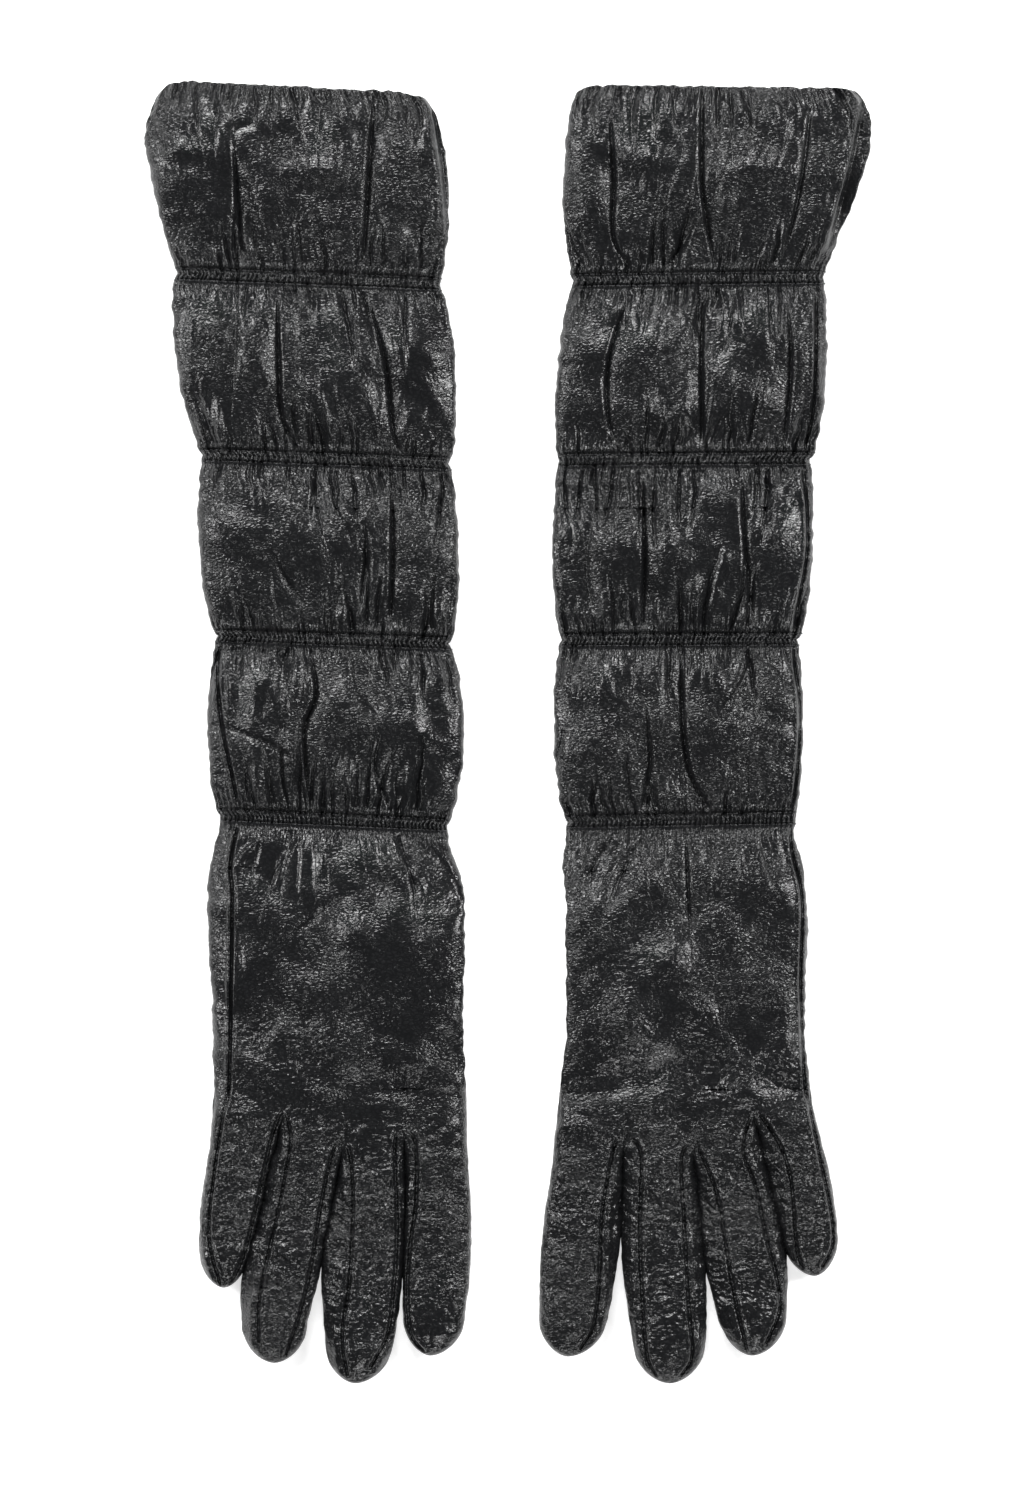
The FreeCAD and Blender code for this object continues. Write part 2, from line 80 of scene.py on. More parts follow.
HANDS = {
    "right": {
        "corners": (9.0, 2.5),
        "index_way": 1,
        "tilts": [(222, -0.050), (156, -0.040), (94, -0.036), (33, -0.034), (-29, -0.046), (-75, 0.0)],
        "skew": [(1.5, 1.15), (0.95, 1.0), (0.8, 0.85), (0.95, 1.1)],
        "hand_left": [(-36, -99.6), (-45, -101.8), (-63, -102.8), (-84, -101.7), (-104, -101.1), (-121, -100.8)],
        "hand_right": [(-36, -20.0), (-43, -17.3), (-53, -15.2), (-63, -14.9), (-90, -15.1), (-121, -14.4)],
        "seam": [(-128, -96.4), (-118, -95.2), (-84, -94.6), (-56, -94.2), (-45, -94.9), (-30, -92.2), (-20, -93.4), (2, -97.8),
                 (20, -99.3), (44, -98.0)],
        "creases": [
            (2.6, 1.2, [(-93.4, 200), (-92.4, 180), (-90.6, 160)]),
            (2.8, 1.2, [(-45.7, 219), (-47.6, 190), (-48.9, 170), (-50.6, 160)]),
            (1.5, 1.6, [(-72.0, 176), (-70.0, 158)]),
            (2.8, 1.1, [(-78.9, 150), (-78.2, 128), (-77.0, 108), (-70.8, 96)]),
            (2.8, 1.1, [(-47.6, 152), (-46.0, 144), (-41.8, 128), (-39.0, 104), (-35.6, 96)]),
            (1.4, 2.4, [(-92.6, 146), (-93.8, 117)]),
            (2.7, 1.2, [(-39.6, 86), (-39.4, 62), (-40.4, 36)]),
            (2.4, 2.0, [(-49.0, 73), (-48.2, 60), (-50.8, 42)]),
            (1.5, 1.3, [(-67.2, 90), (-65.6, 80), (-62.8, 68)]),
            (1.3, 1.6, [(-80.5, 62), (-76.0, 53), (-69.4, 44)]),
            (2.8, 1.3, [(-67.4, 30), (-65.6, 14), (-69.4, 3), (-69.4, -9), (-67.0, -27)]),
            (2.0, 1.5, [(-43.4, 1), (-45.2, -12), (-39.0, -27)]),
            (1.3, 2.0, [(-99.0, 2), (-84.0, -3), (-71.0, -10)]),
            (1.2, 1.6, [(-54.0, 27), (-51.0, 16), (-44.0, 8)]),
            (1.1, 3.4, [(-50.0, -52), (-62.0, -59), (-76.0, -71)]),
            (1.2, 1.4, [(-38.0, -33), (-34.8, -42), (-32.0, -52), (-31.5, -62)]),
            (1.0, 1.4, [(-72.4, -33), (-74.0, -40), (-79.0, -47), (-83.0, -58)]),
        ],
        "ridges": [
            (1.0, 3.6, [(-79, 192), (-62, 193), (-47, 191)]),
            (0.9, 3.2, [(-119, 197), (-106, 199), (-94, 197)]),
            (0.9, 1.3, [(-83.0, -35), (-91.5, -43.5), (-94.0, -52)]),
            (0.8, 1.3, [(-70.5, -36), (-77.0, -44.0), (-81.0, -56)]),
            (0.7, 1.2, [(-58.0, -32), (-62.4, -39.0), (-63.6, -50)]),
            (0.9, 1.3, [(-39.6, -32), (-36.6, -42.0), (-29.6, -50), (-28.8, -62)]),
            (0.8, 1.3, [(-27.6, -34), (-21.0, -41.0), (-17.4, -49)]),
            (0.7, 4.0, [(-80.0, -99), (-66.0, -106), (-53.0, -114)]),
            (0.6, 4.0, [(-48.0, -104), (-38.0, -108), (-28.0, -119)]),
            (0.7, 2.6, [(-36.0, 8), (-28.0, 1), (-18.0, -3)]),
            (0.7, 2.6, [(-60.0, 80), (-52.0, 74), (-44.0, 78)]),
            (0.7, 3.0, [(-72.0, 112), (-60.0, 106), (-48.0, 110)]),
        ],
        "steps": [(4.5, [(-27.6, 224), (-24.4, 205), (-22.2, 184), (-21.4, 166)])],
    },
    "left": {
        "corners": (2.5, 1.5),
        "index_way": -1,
        "tilts": [(222, -0.012), (156, 0.012), (94, 0.007), (33, 0.004), (-29, 0.018), (-75, 0.0)],
        "skew": [(1.05, 1.75), (0.95, 0.75), (0.95, 0.75), (0.95, 0.95)],
        "hand_left": [(-36, 19.7), (-43, 19.0), (-53, 19.7), (-84, 20.0), (-104, 19.7), (-115, 18.6), (-121, 17.9)],
        "hand_right": [(-36, 98.3), (-43, 100.7), (-53, 102.1), (-63, 103.1), (-84, 102.1), (-104, 102.1), (-121, 103.6)],
        "seam": [(-128, 103.4), (-118, 101.6), (-84, 100.3), (-56, 100.8), (-36, 97.0), (-10, 99.4), (10, 100.0), (33, 97.9),
                 (60, 102.2), (75, 102.6), (94, 101.4), (112, 104.8), (142, 105.6), (157, 105.6)],
        "creases": [
            (2.6, 1.2, [(35.0, 213), (36.4, 190), (36.2, 171), (42.2, 159)]),
            (2.9, 1.1, [(66.6, 222), (66.3, 200), (66.8, 184), (71.2, 159)]),
            (1.8, 1.3, [(65.4, 179), (60.0, 168), (53.4, 159)]),
            (2.2, 1.5, [(104.3, 219), (101.4, 196), (98.6, 180), (94.4, 163)]),
            (2.4, 1.3, [(40.4, 149), (34.6, 129), (34.2, 110), (38.0, 98)]),
            (2.7, 1.1, [(67.1, 152), (66.4, 128), (66.8, 98)]),
            (2.4, 1.5, [(95.8, 148), (97.0, 125), (94.6, 98)]),
            (2.8, 1.1, [(46.0, 91), (46.8, 62), (46.1, 35)]),
            (2.5, 1.3, [(80.2, 88), (81.2, 66), (84.6, 36)]),
            (1.2, 2.2, [(29.0, 76), (27.0, 56), (30.0, 40)]),
            (3.0, 1.2, [(59.2, 29), (60.2, 2), (62.8, -14), (69.8, -27)]),
            (2.0, 1.5, [(47.2, 12), (48.8, -9), (45.8, -27)]),
            (1.3, 1.8, [(84.0, 28), (79.0, 16), (72.0, 8)]),
            (1.9, 1.5, [(61.0, -33), (61.6, -50), (62.6, -68)]),
            (1.2, 1.4, [(36.4, -34), (30.0, -44), (24.6, -54)]),
            (1.2, 1.4, [(46.6, -34), (39.0, -47), (33.2, -62)]),
            (1.0, 1.5, [(86.0, -34), (88.4, -44), (91.4, -53)]),
        ],
        "ridges": [
            (0.9, 3.4, [(38, 196), (50, 197), (64, 194)]),
            (0.9, 3.4, [(72, 190), (86, 194), (100, 190)]),
            (1.0, 2.4, [(75.4, 5), (88.0, 2), (100.5, -3)]),
            (0.9, 2.0, [(75.0, 64), (72.0, 52), (68.6, 41)]),
            (0.9, 1.4, [(33.6, -34), (26.0, -45), (22.4, -54)]),
            (0.9, 1.4, [(43.6, -34), (35.6, -47), (30.0, -61)]),
            (0.8, 1.3, [(55.0, -33), (54.0, -43), (50.0, -54)]),
            (0.8, 1.3, [(76.0, -32), (79.6, -42), (81.0, -54)]),
            (0.7, 4.0, [(36.0, -96), (52.0, -105), (66.0, -112)]),
            (0.6, 4.0, [(64.0, -92), (80.0, -99), (94.0, -108)]),
            (0.7, 3.0, [(48.0, 112), (56.0, 107), (64.0, 111)]),
        ],
        "steps": [(4.0, [(121.8, 224), (118.6, 205), (113.6, 184), (107.2, 161)])],
    },
}

# Each finger: its two edges and its two seams as (y, x) points, and its tip. A seam of None is the folded edge.
DIGITS = {
    "right_pinky": {
        "left": [(-121, -100.8), (-140, -102.1), (-161, -105.2), (-178, -105.9)],
        "right": [(-121, -75.8), (-128, -76.4), (-152, -82.4), (-168, -86.0), (-181, -89.2)],
        "forks": (None, -128.0),
        "seams": ([(-108, -94.9), (-118, -95.2), (-147, -99.9), (-171, -102.1), (-188, -98.4)],
                  [(-128, -77.2), (-134, -79.6), (-141, -81.6), (-168, -87.7), (-181, -91.5), (-189, -96.0)]),
        "tip": (-97.3, -189.4),
    },
    "right_ring": {
        "left": [(-121, -75.8), (-128, -76.4), (-152, -82.4), (-168, -86.0), (-180, -89.4), (-190, -90.9),
                 (-202, -90.6)],
        "right": [(-121, -56.0), (-139, -56.3), (-159, -59.7), (-174, -62.9), (-186, -65.2), (-201, -69.2)],
        "forks": (-128.0, -139.0),
        "seams": ([(-128, -76.0), (-134, -74.6), (-141, -74.3), (-163, -78.5), (-191, -84.6), (-208, -85.0)],
                  [(-139, -57.0), (-143, -60.0), (-160, -63.8), (-181, -67.2), (-198, -71.2), (-212, -76.0)]),
        "tip": (-79.9, -215.2),
    },
    "right_middle": {
        "left": [(-121, -56.0), (-139, -56.3), (-159, -59.7), (-174, -62.9), (-190, -63.2), (-207, -62.0)],
        "right": [(-121, -35.4), (-135, -35.4), (-167, -35.4), (-186, -36.6), (-204, -38.8), (-210, -40.0)],
        "forks": (-139.0, -135.4),
        "seams": ([(-139, -55.8), (-145, -53.6), (-163, -52.8), (-188, -54.2), (-205, -56.6), (-219, -54.8)],
                  [(-135, -36.0), (-140, -38.6), (-167, -37.9), (-188, -38.9), (-205, -41.2), (-216, -47.0)]),
        "tip": (-52.2, -222.2),
    },
    "right_index": {
        "left": [(-121, -35.4), (-135, -35.4), (-167, -35.0), (-182, -35.5), (-202, -35.4)],
        "right": [(-121, -14.4), (-145, -13.5), (-160, -12.6), (-184, -12.8), (-199, -14.6)],
        "forks": (-135.4, None),
        "seams": ([(-135, -34.6), (-140, -31.4), (-160, -31.3), (-174, -33.3), (-191, -34.3), (-205, -33.0),
                   (-211, -28.6)], None),
        "tip": (-26.4, -212.7),
    },
    "left_index": {
        "left": [(-121, 17.9), (-130, 16.9), (-147, 15.2), (-165, 12.6), (-180, 11.2), (-199, 10.6)],
        "right": [(-121, 39.4), (-137, 39.5), (-155, 39.2), (-176, 37.8), (-193, 35.2), (-202, 33.4)],
        "forks": (None, -137.5),
        "seams": (None, [(-137, 38.6), (-142, 36.1), (-164, 32.2), (-186, 31.3), (-202, 29.4), (-210, 24.8)]),
        "tip": (20.8, -213.0),
    },
    "left_middle": {
        "left": [(-121, 39.4), (-137, 39.5), (-154, 39.6), (-180, 39.7), (-200, 42.2), (-209, 43.6)],
        "right": [(-121, 63.2), (-139, 63.4), (-159, 65.6), (-183, 67.4), (-203, 67.6), (-209, 67.2)],
        "forks": (-137.5, -139.0),
        "seams": ([(-137, 40.4), (-143, 45.6), (-168, 45.3), (-190, 46.0), (-212, 47.8), (-219, 51.0)],
                  [(-139, 62.8), (-145, 59.4), (-168, 60.4), (-194, 61.8), (-212, 63.1), (-219, 59.4)]),
        "tip": (55.6, -222.2),
    },
    "left_ring": {
        "left": [(-121, 63.2), (-139, 63.4), (-159, 65.6), (-183, 68.4), (-196, 71.6), (-205, 73.6)],
        "right": [(-121, 83.8), (-129, 84.3), (-152, 89.6), (-169, 93.8), (-183, 95.4), (-201, 95.0)],
        "forks": (-139.0, -129.0),
        "seams": ([(-139, 64.2), (-142, 65.6), (-158, 72.0), (-177, 75.1), (-196, 78.5), (-210, 81.9)],
                  [(-129, 83.4), (-142, 80.5), (-155, 85.0), (-172, 88.4), (-186, 92.0), (-197, 93.0),
                   (-208, 88.4)]),
        "tip": (83.8, -212.7),
    },
    "left_pinky": {
        "left": [(-121, 83.8), (-129, 84.3), (-152, 89.6), (-166, 93.0), (-176, 94.8)],
        "right": [(-121, 103.6), (-130, 105.2), (-143, 108.6), (-161, 112.2), (-174, 113.4)],
        "forks": (-129.0, None),
        "seams": ([(-129, 85.2), (-133, 88.6), (-142, 94.0), (-154, 97.2), (-175, 98.9), (-182, 101.0)],
                  [(-108, 101.0), (-118, 101.6), (-143, 106.4), (-161, 110.2), (-174, 111.2), (-182, 107.6)]),
        "tip": (105.2, -185.4),
    },
}

# ---------------------------------------------------------------------------------------------------------------
# Small mathematics.

LATTICES = {}


def noise(x, y, seed):
    """Smooth gradient noise, mostly from -1 to 1, one unit from one lattice point to the next."""
    if seed not in LATTICES:
        angle = np.random.default_rng(seed).uniform(0, 2 * math.pi, (256, 256))
        LATTICES[seed] = np.cos(angle), np.sin(angle)
    along_x, along_y = LATTICES[seed]
    x, y = np.broadcast_arrays(np.asarray(x, float), np.asarray(y, float))
    i, j = np.floor(x).astype(int), np.floor(y).astype(int)
    u, v = x - i, y - j

    def corner(di, dj):
        a, b = (i + di) % 256, (j + dj) % 256
        return along_x[a, b] * (u - di) + along_y[a, b] * (v - dj)

    s, t = u**3 * (u * (6 * u - 15) + 10), v**3 * (v * (6 * v - 15) + 10)
    low = corner(0, 0) * (1 - s) + corner(1, 0) * s
    high = corner(0, 1) * (1 - s) + corner(1, 1) * s
    return 1.6 * (low * (1 - t) + high * t)


def bell(x, width):
    return np.exp(-((x / width) ** 2))


def ease(x):
    """0 below 0, 1 above 1 and smooth between."""
    x = np.clip(x, 0, 1)
    return x * x * (3 - 2 * x)


def curve(points, at):
    """A smooth curve through (at, value) points, in any order, level beyond its ends."""
    points = sorted(points)
    a, v = (np.array(c, float) for c in zip(*points))
    if len(a) == 1:
        return np.full_like(np.asarray(at, float), v[0])
    step = np.diff(a)
    slope = np.diff(v) / step
    tangent = np.concatenate([[slope[0]], (slope[:-1] + slope[1:]) / 2, [slope[-1]]])
    at = np.clip(at, a[0], a[-1])
    n = np.clip(np.searchsorted(a, at, side="right") - 1, 0, len(step) - 1)
    s = (at - a[n]) / step[n]
    rise = (2 * s**3 - 3 * s**2 + 1) * v[n] + (s**3 - 2 * s**2 + s) * step[n] * tangent[n]
    return rise + (-2 * s**3 + 3 * s**2) * v[n + 1] + (s**3 - s**2) * step[n] * tangent[n + 1]


def smooth_path(points, per_span=6):
    """A drawn line made round: points of a smooth curve through the given ones."""
    points = np.array(points, float)
    along = np.arange(len(points))
    fine = np.linspace(0, len(points) - 1, per_span * (len(points) - 1) + 1)
    return np.stack([curve(list(zip(along, points[:, c])), fine) for c in (0, 1)], 1)


def along_path(points, x, y):
    """For each place, its signed distance from a line of points and how far along the line it is, from 0 to 1."""
    path = smooth_path(points)
    lengths = np.concatenate([[0], np.cumsum(np.linalg.norm(np.diff(path, axis=0), axis=1))])
    best = np.full(x.shape, 1e9)
    side, where = np.zeros(x.shape), np.zeros(x.shape)
    for n, (a, b) in enumerate(zip(path[:-1], path[1:])):
        d = b - a
        span = float(d @ d)
        s = np.clip(((x - a[0]) * d[0] + (y - a[1]) * d[1]) / span, 0, 1)
        dx, dy = x - a[0] - s * d[0], y - a[1] - s * d[1]
        away = dx * dx + dy * dy
        nearer = away < best
        best = np.where(nearer, away, best)
        side = np.where(nearer, np.sign(dx * d[1] - dy * d[0]), side)
        where = np.where(nearer, lengths[n] + s * math.sqrt(span), where)
    return np.sqrt(best) * side, where / lengths[-1]


def section_nodes(count, power, wide, high):
    """Even steps round half a flattened tube: places across from -1 to 1, and the share of its height there."""
    angle = np.linspace(math.pi, 0, 4001)
    across = np.sign(np.cos(angle)) * np.abs(np.cos(angle)) ** (2 / power)
    share = np.abs(np.sin(angle))
    length = np.concatenate([[0], np.cumsum(np.hypot(np.diff(across) * wide / 2, np.diff(share) * high))])
    at = np.linspace(0, length[-1], count)
    return np.interp(at, length, across), np.interp(at, length, share)


def share_at(across, power):
    """The share of a flattened tube's height at a place across it."""
    return np.sqrt(np.clip(1 - np.abs(across) ** power, 0, 1))


# ---------------------------------------------------------------------------------------------------------------
# A glove's leather from the hem to the knuckles.


class Glove:
    """What both the mesh and the stitches need to know about one glove's tube."""

    power = 4.2

    def __init__(self, side):
        self.side = side
        self.data = HANDS[side]
        self.seed = 10 if side == "right" else 60
        boxes = [[np.array(c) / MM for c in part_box(f"{side}_row_{n}_stitching")] for n in (1, 2, 3, 4)]
        self.rows = [(low[1] + high[1]) / 2 for low, high in boxes]
        hem_low, hem_high = (np.array(c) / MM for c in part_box(f"{side}_hem_elastic"))
        puffs = [[np.array(c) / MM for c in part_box(f"{side}_puff_{n}_leather")] for n in (1, 2, 3, 4)]
        self.hem = puffs[0][1][1]
        self.left_row = [hem_low[0] - 1] + [low[0] + 0.4 for low, _ in boxes]
        self.right_row = [hem_high[0] + 1] + [high[0] - 0.4 for _, high in boxes]
        self.left_puff = [low[0] for low, _ in puffs]
        self.right_puff = [high[0] for _, high in puffs]
        self.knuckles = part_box(f"{side}_hand_leather")[0][1] / MM + 1.5

    def edges(self, y):
        """The left and right outline at each y along the tube."""
        y = np.asarray(y, float)
        left, right = curve(self.data["hand_left"], y), curve(self.data["hand_right"], y)
        stops = [self.hem] + self.rows
        for n in range(4):
            high, low = stops[n], stops[n + 1]
            inside = (y <= high) & (y > low)
            share = np.clip((y - low) / (high - low), 0, 1)
            for out, row, puff, skew in (
                (left, self.left_row, self.left_puff, self.data["skew"][n][0]),
                (right, self.right_row, self.right_puff, self.data["skew"][n][1]),
            ):
                base = row[n + 1] * (1 - share) + row[n] * share
                bulge = np.sin(math.pi * share**skew) ** 0.62
                peak = 0.5 ** (1 / skew)
                most = puff[n] - (row[n + 1] * (1 - peak) + row[n] * peak)
                out[inside] = (base + most * bulge)[inside]
        wrist = ease((self.rows[3] - y) / 9.0)
        below = y <= self.rows[3]
        left = np.where(below, self.left_row[4] * (1 - wrist) + left * wrist, left)
        right = np.where(below, self.right_row[4] * (1 - wrist) + right * wrist, right)
        seed = self.seed
        left = left + 0.45 * noise(y / 3.1, 0.5, seed) + 0.3 * noise(y / 9.0, 3.5, seed)
        right = right + 0.45 * noise(y / 3.1, 7.5, seed) + 0.3 * noise(y / 9.0, 9.5, seed)
        return left, right

    def near_row(self, y):
        """The nearest row's number and the distance from it, positive towards the hem."""
        away = np.stack([y - r for r in self.rows])
        n = np.abs(away).argmin(0)
        return n, np.take_along_axis(away, n[None], 0)[0]

    def thickness(self, y):
        """How high the back of the tube stands over its underside along its middle."""
        high = np.full(np.shape(y), 0.0)
        stops = [self.hem + 6.0] + self.rows
        for n, top in enumerate((14.6, 13.4, 13.2, 13.2)):
            high_y, low_y = stops[n], stops[n + 1]
            share = np.clip((y - low_y) / (high_y - low_y), 0, 1)
            inside = (y <= high_y) & (y > low_y)
            high[inside] = (6.2 + (top - 6.2) * np.sin(math.pi * share) ** 0.62)[inside]
        down = self.rows[3] - y
        hand = 6.2 + 6.4 * (1 - np.exp(-np.clip(down, 0, None) / 9.0)) - 1.2 * ease((down - 55) / 38)
        return np.where(down >= 0, hand, high)

    def levels(self, across, y):
        """The heights of the underside and of the back. The thumb lies under the palm on the index side."""
        inward = across * self.data["index_way"]
        over = ease((y + 124.0) / 5.0) * ease((-44.0 - y) / 14.0)
        floor = 0.4 + np.maximum(7.9 * ease((inward + 0.42) / 0.5) * over, 1.7 * ease((-96 - y) / 20))
        rise = 3.4 * ease((inward + 0.75) / 1.1) * ease((-42 - y) / 26) * ease((y + 121.0) / 24)
        roof = 0.4 + self.thickness(y) + rise + 1.6 * ease((-96 - y) / 20)
        return floor, roof

    def gathers(self, across, y):
        """A gathered row's ribs and stitch grooves, and the puckers that run out from it."""
        n, d = self.near_row(y)
        away = np.abs(d)
        g = across * 41.0
        row = n * 37.0 + np.where(d > 0, 11.0, 0.0)
        seed = self.seed
        calm = np.where(y < self.rows[3], 0.3, 1.0)  # the hand has few puckers but its own long ridges
        phase = g / GATHER_PITCH + 0.5 * noise(g / 5.0, n * 37.0 + 0.5, seed + 1)
        ribs = np.abs(np.sin(math.pi * phase)) ** 0.9
        uneven = 0.8 + 0.5 * noise(g / 3.0, row + 3.0, seed + 1)
        band = 1.15 * bell(away, 2.4) * (ribs - 0.6) + 0.85 * bell(away, 1.15) + 0.5 * bell(away - 3.4, 1.1)
        ends = 1.15 * uneven * (ribs - 0.6) * ease((away - 2.2) / 1.0) * np.exp(-np.clip(away - 2.4, 0, None) / 2.6)
        out = band + ends
        for pitch, reach, deep, narrow, extra in ((3.0, 3.6, 1.0, 0.3, 2), (5.4, 6.5, 1.9, 0.22, 3),
                                                  (9.5, 12.0, 2.8, 0.15, 4)):
            wave = noise(g / pitch * 1.25 + row, away / (4.0 * reach) + row, seed + extra)
            chosen = noise(g / pitch / 1.3 + 31.0, row + 5.5, seed + extra + 20)
            valley = np.exp(-np.abs(wave) / narrow) * ease((chosen + 0.25) / 0.5)
            crest = bell(wave - 0.55, 0.16)
            length = 0.6 + 0.6 * np.clip(chosen + 0.3, 0, 1)
            grow = (away / reach) * np.exp(1 - away / reach)
            fade = np.exp(-((away / (reach * 2.4 * length)) ** 3))
            out = out + deep * calm * grow * fade * (0.45 * crest - valley)
        groove = bell(away - STITCH_APART, 0.42)
        return out - 1.3 * groove

    def hem_gathers(self, across, y):
        g = across * 47.0
        away = self.hem - y
        seed = self.seed
        wave = noise(g / 2.6, away / 14.0, seed + 8)
        wide = noise(g / 6.5, away / 30.0, seed + 9)
        short = np.exp(-np.abs(wave) / 0.26) * bell(away, 8.0)
        long = np.exp(-np.abs(wide) / 0.16) * bell(away, 19.0)
        return -1.3 * short - 1.9 * long + 0.7 * bell(wide - 0.4, 0.2) * bell(away, 17.0)

    def folds(self, x, y):
        """The long creases, soft ridges and overlapped edges."""
        out = np.zeros(x.shape)
        for deep, wide, points in self.data["creases"]:
            d, along = along_path(points, x, y)
            taper = np.sqrt(np.clip(np.sin(math.pi * np.clip(along, 0.02, 0.98)), 0, 1))
            sharp = np.exp(-np.abs(d) / (0.5 * wide))
            soft = bell(d, 5.0 * wide)
            lean = np.tanh(d / 0.7) * bell(d, 4.0 * wide) * (1 if points[0][0] % 2 < 1 else -1)
            out += deep * taper * (-1.15 * sharp - 0.6 * soft + 0.35 * lean)
        for high, wide, points in self.data["ridges"]:
            d, along = along_path(points, x, y)
            taper = ease((along + 0.02) / 0.12) * ease((1 - along) / 0.45)
            out += high * taper * (bell(d, wide) - 0.3 * bell(d - 1.8 * wide, 1.3 * wide))
        for deep, points in self.data["steps"]:
            d, along = along_path(points, x, y)
            ends = ease(along / 0.06) * ease((1 - along) / 0.25)
            out += -deep * ends * ease((0.2 - d) / 1.6) + 0.5 * ends * bell(d - 1.4, 1.1)
        return out

    def swell(self, x, y):
        """Slow unevenness of soft leather lying on itself."""
        s = self.seed
        slow = 1.6 * noise(x / 17 + y / 50, y / 18, s + 5) + 0.45 * noise(x / 8 + y / 26, y / 9, s + 6)
        quick = 0.05 * noise(x / 3.6 - y / 9, y / 4.4, s + 7)
        on_hand = ease((self.rows[3] - 14 - y) / 18)
        slant = 1.4 * noise((x + 0.75 * y * self.data["index_way"]) / 15, (y - 0.3 * x) / 24, s + 17)
        return slow + quick + on_hand * slant

    def wrinkles(self, x, y):
        """Fine creases across the hand, and shorter ones in every puff."""
        s = self.seed
        warp = 1.3 * noise(x / 6.0, y / 6.0, s + 12)
        thin = noise(x / 6.5, (y + warp) / 1.25, s + 13)
        patch = ease(0.55 + 1.2 * noise(x / 15, y / 12, s + 14))
        lower = ease((-70 - y) / 40)
        n, d = self.near_row(y)
        clear = ease((np.abs(d) - 7) / 8)
        return -(0.24 + 0.36 * lower) * np.exp(-np.abs(thin) / 0.16) * patch * clear

    def seam(self, x, y):
        """The long seam on the little finger's side: a groove beside a rounded edge."""
        points = [(px, py) for py, px in self.data["seam"]]
        d, along = along_path(points, x, y)
        d = d * self.data["index_way"]
        ends = ease(along / 0.02) * ease((1 - along) / 0.06)
        n, away = self.near_row(y)
        quiet = 0.35 + 0.65 * ease((np.abs(away) - 3) / 4)
        return ends * quiet * (-1.4 * bell(d, 0.45) + 0.5 * bell(np.abs(d) - 1.2, 0.65))

    def top(self, across, share, y, x):
        """The height of the back of the tube."""
        floor, roof = self.levels(across, y)
        side = floor + 0.36 * (roof - floor)
        calm = ease((share - 0.05) / 0.6)
        n, d = self.near_row(y)
        fold = self.folds(x, y) * ease((np.abs(d) - 1.4) / 2.2)
        loose = self.swell(x, y) * ease((np.abs(d) - 2.5) / 9.0)
        drawn = self.gathers(across, y) + self.hem_gathers(across, y) + self.seam(x, y)
        return side + (roof - side) * share + calm * (fold + loose + self.wrinkles(x, y)) + (0.3 + 0.7 * calm) * drawn

    def bottom(self, across, share, y, x):
        """The height of the underside, which is pressed flat but for the gathers."""
        floor, roof = self.levels(across, y)
        side = floor + 0.36 * (roof - floor)
        n, d = self.near_row(y)
        tuck = 0.7 * bell(np.abs(d), 4.0)
        rough = -0.5 * np.minimum(self.gathers(across, y), 0.4)
        creased = 0.7 * np.exp(-np.abs(noise(x / 11, y / 3.4, self.seed + 18)) / 0.12)
        slack = 0.8 + 0.8 * noise(x / 16, y / 19, self.seed + 19)
        loose = ease((np.abs(d) - 3) / 8.0) * (creased + np.clip(slack, 0, 2))
        return side - (side - floor - tuck) * share**0.7 + share * (np.clip(rough, -0.1, 1.2) + loose)

    def place(self, across, y):
        """The x and the true y of places on the tube: the rows aren't quite square to it."""
        left, right = self.edges(y)
        x = (left + right) / 2 + (right - left) / 2 * across
        tilt = curve(self.data["tilts"], y)
        return x, y + tilt * (x - (left + right) / 2)

    def steps(self, high, low):
        """The y of each ring from high to low: closer together beside a gathered row."""
        fine = np.linspace(high, low, 4001)
        n, d = self.near_row(fine)
        step = 0.45 + np.where(fine < self.rows[3] - 14, 0.1, 0.35) * ease((np.abs(d) - 5.0) / 6.0)
        count = np.concatenate([[0], np.cumsum((high - low) / 4000 / ((step[1:] + step[:-1]) / 2))])
        return np.interp(np.linspace(0, count[-1], int(count[-1]) + 1), count, fine)

    def ring_heights(self, ys, top_nodes, bottom_nodes, inset=0.0):
        """Rings of points at each y: the top from left to right, then the underside from right to left."""
        rings = []
        for nodes, height, sign in ((top_nodes, self.top, 1), (bottom_nodes, self.bottom, -1)):
            across = np.tile(nodes[0][None], (len(ys), 1))
            share = np.tile(nodes[1][None], (len(ys), 1))
            y = np.tile(np.asarray(ys, float)[:, None], (1, len(nodes[0])))
            x, true_y = self.place(across, y)
            z = height(across, share, y, x)
            if inset:
                left, right = self.edges(y)
                x = x - across * inset
                z = z - sign * inset * share
            wave = 0.55 * noise(across * 14, 2.0, self.seed + 15) + 0.4 * noise(across * 5, 9.0, self.seed + 16)
            true_y = true_y + wave * ease((y - self.hem + 9) / 9)
            corner = np.where(across < 0, *self.data["corners"])
            turn = 1 - np.sqrt(1 - np.clip((np.abs(across) - 0.78) / 0.22, 0, 1) ** 2)
            true_y = true_y - corner * turn * ease((y - self.hem + 30) / 30)
            points = np.stack([x, true_y, z], -1)
            rings.append(points if sign > 0 else points[:, ::-1][:, 1:-1])
        return np.concatenate(rings, 1)


# ---------------------------------------------------------------------------------------------------------------
# Making meshes.


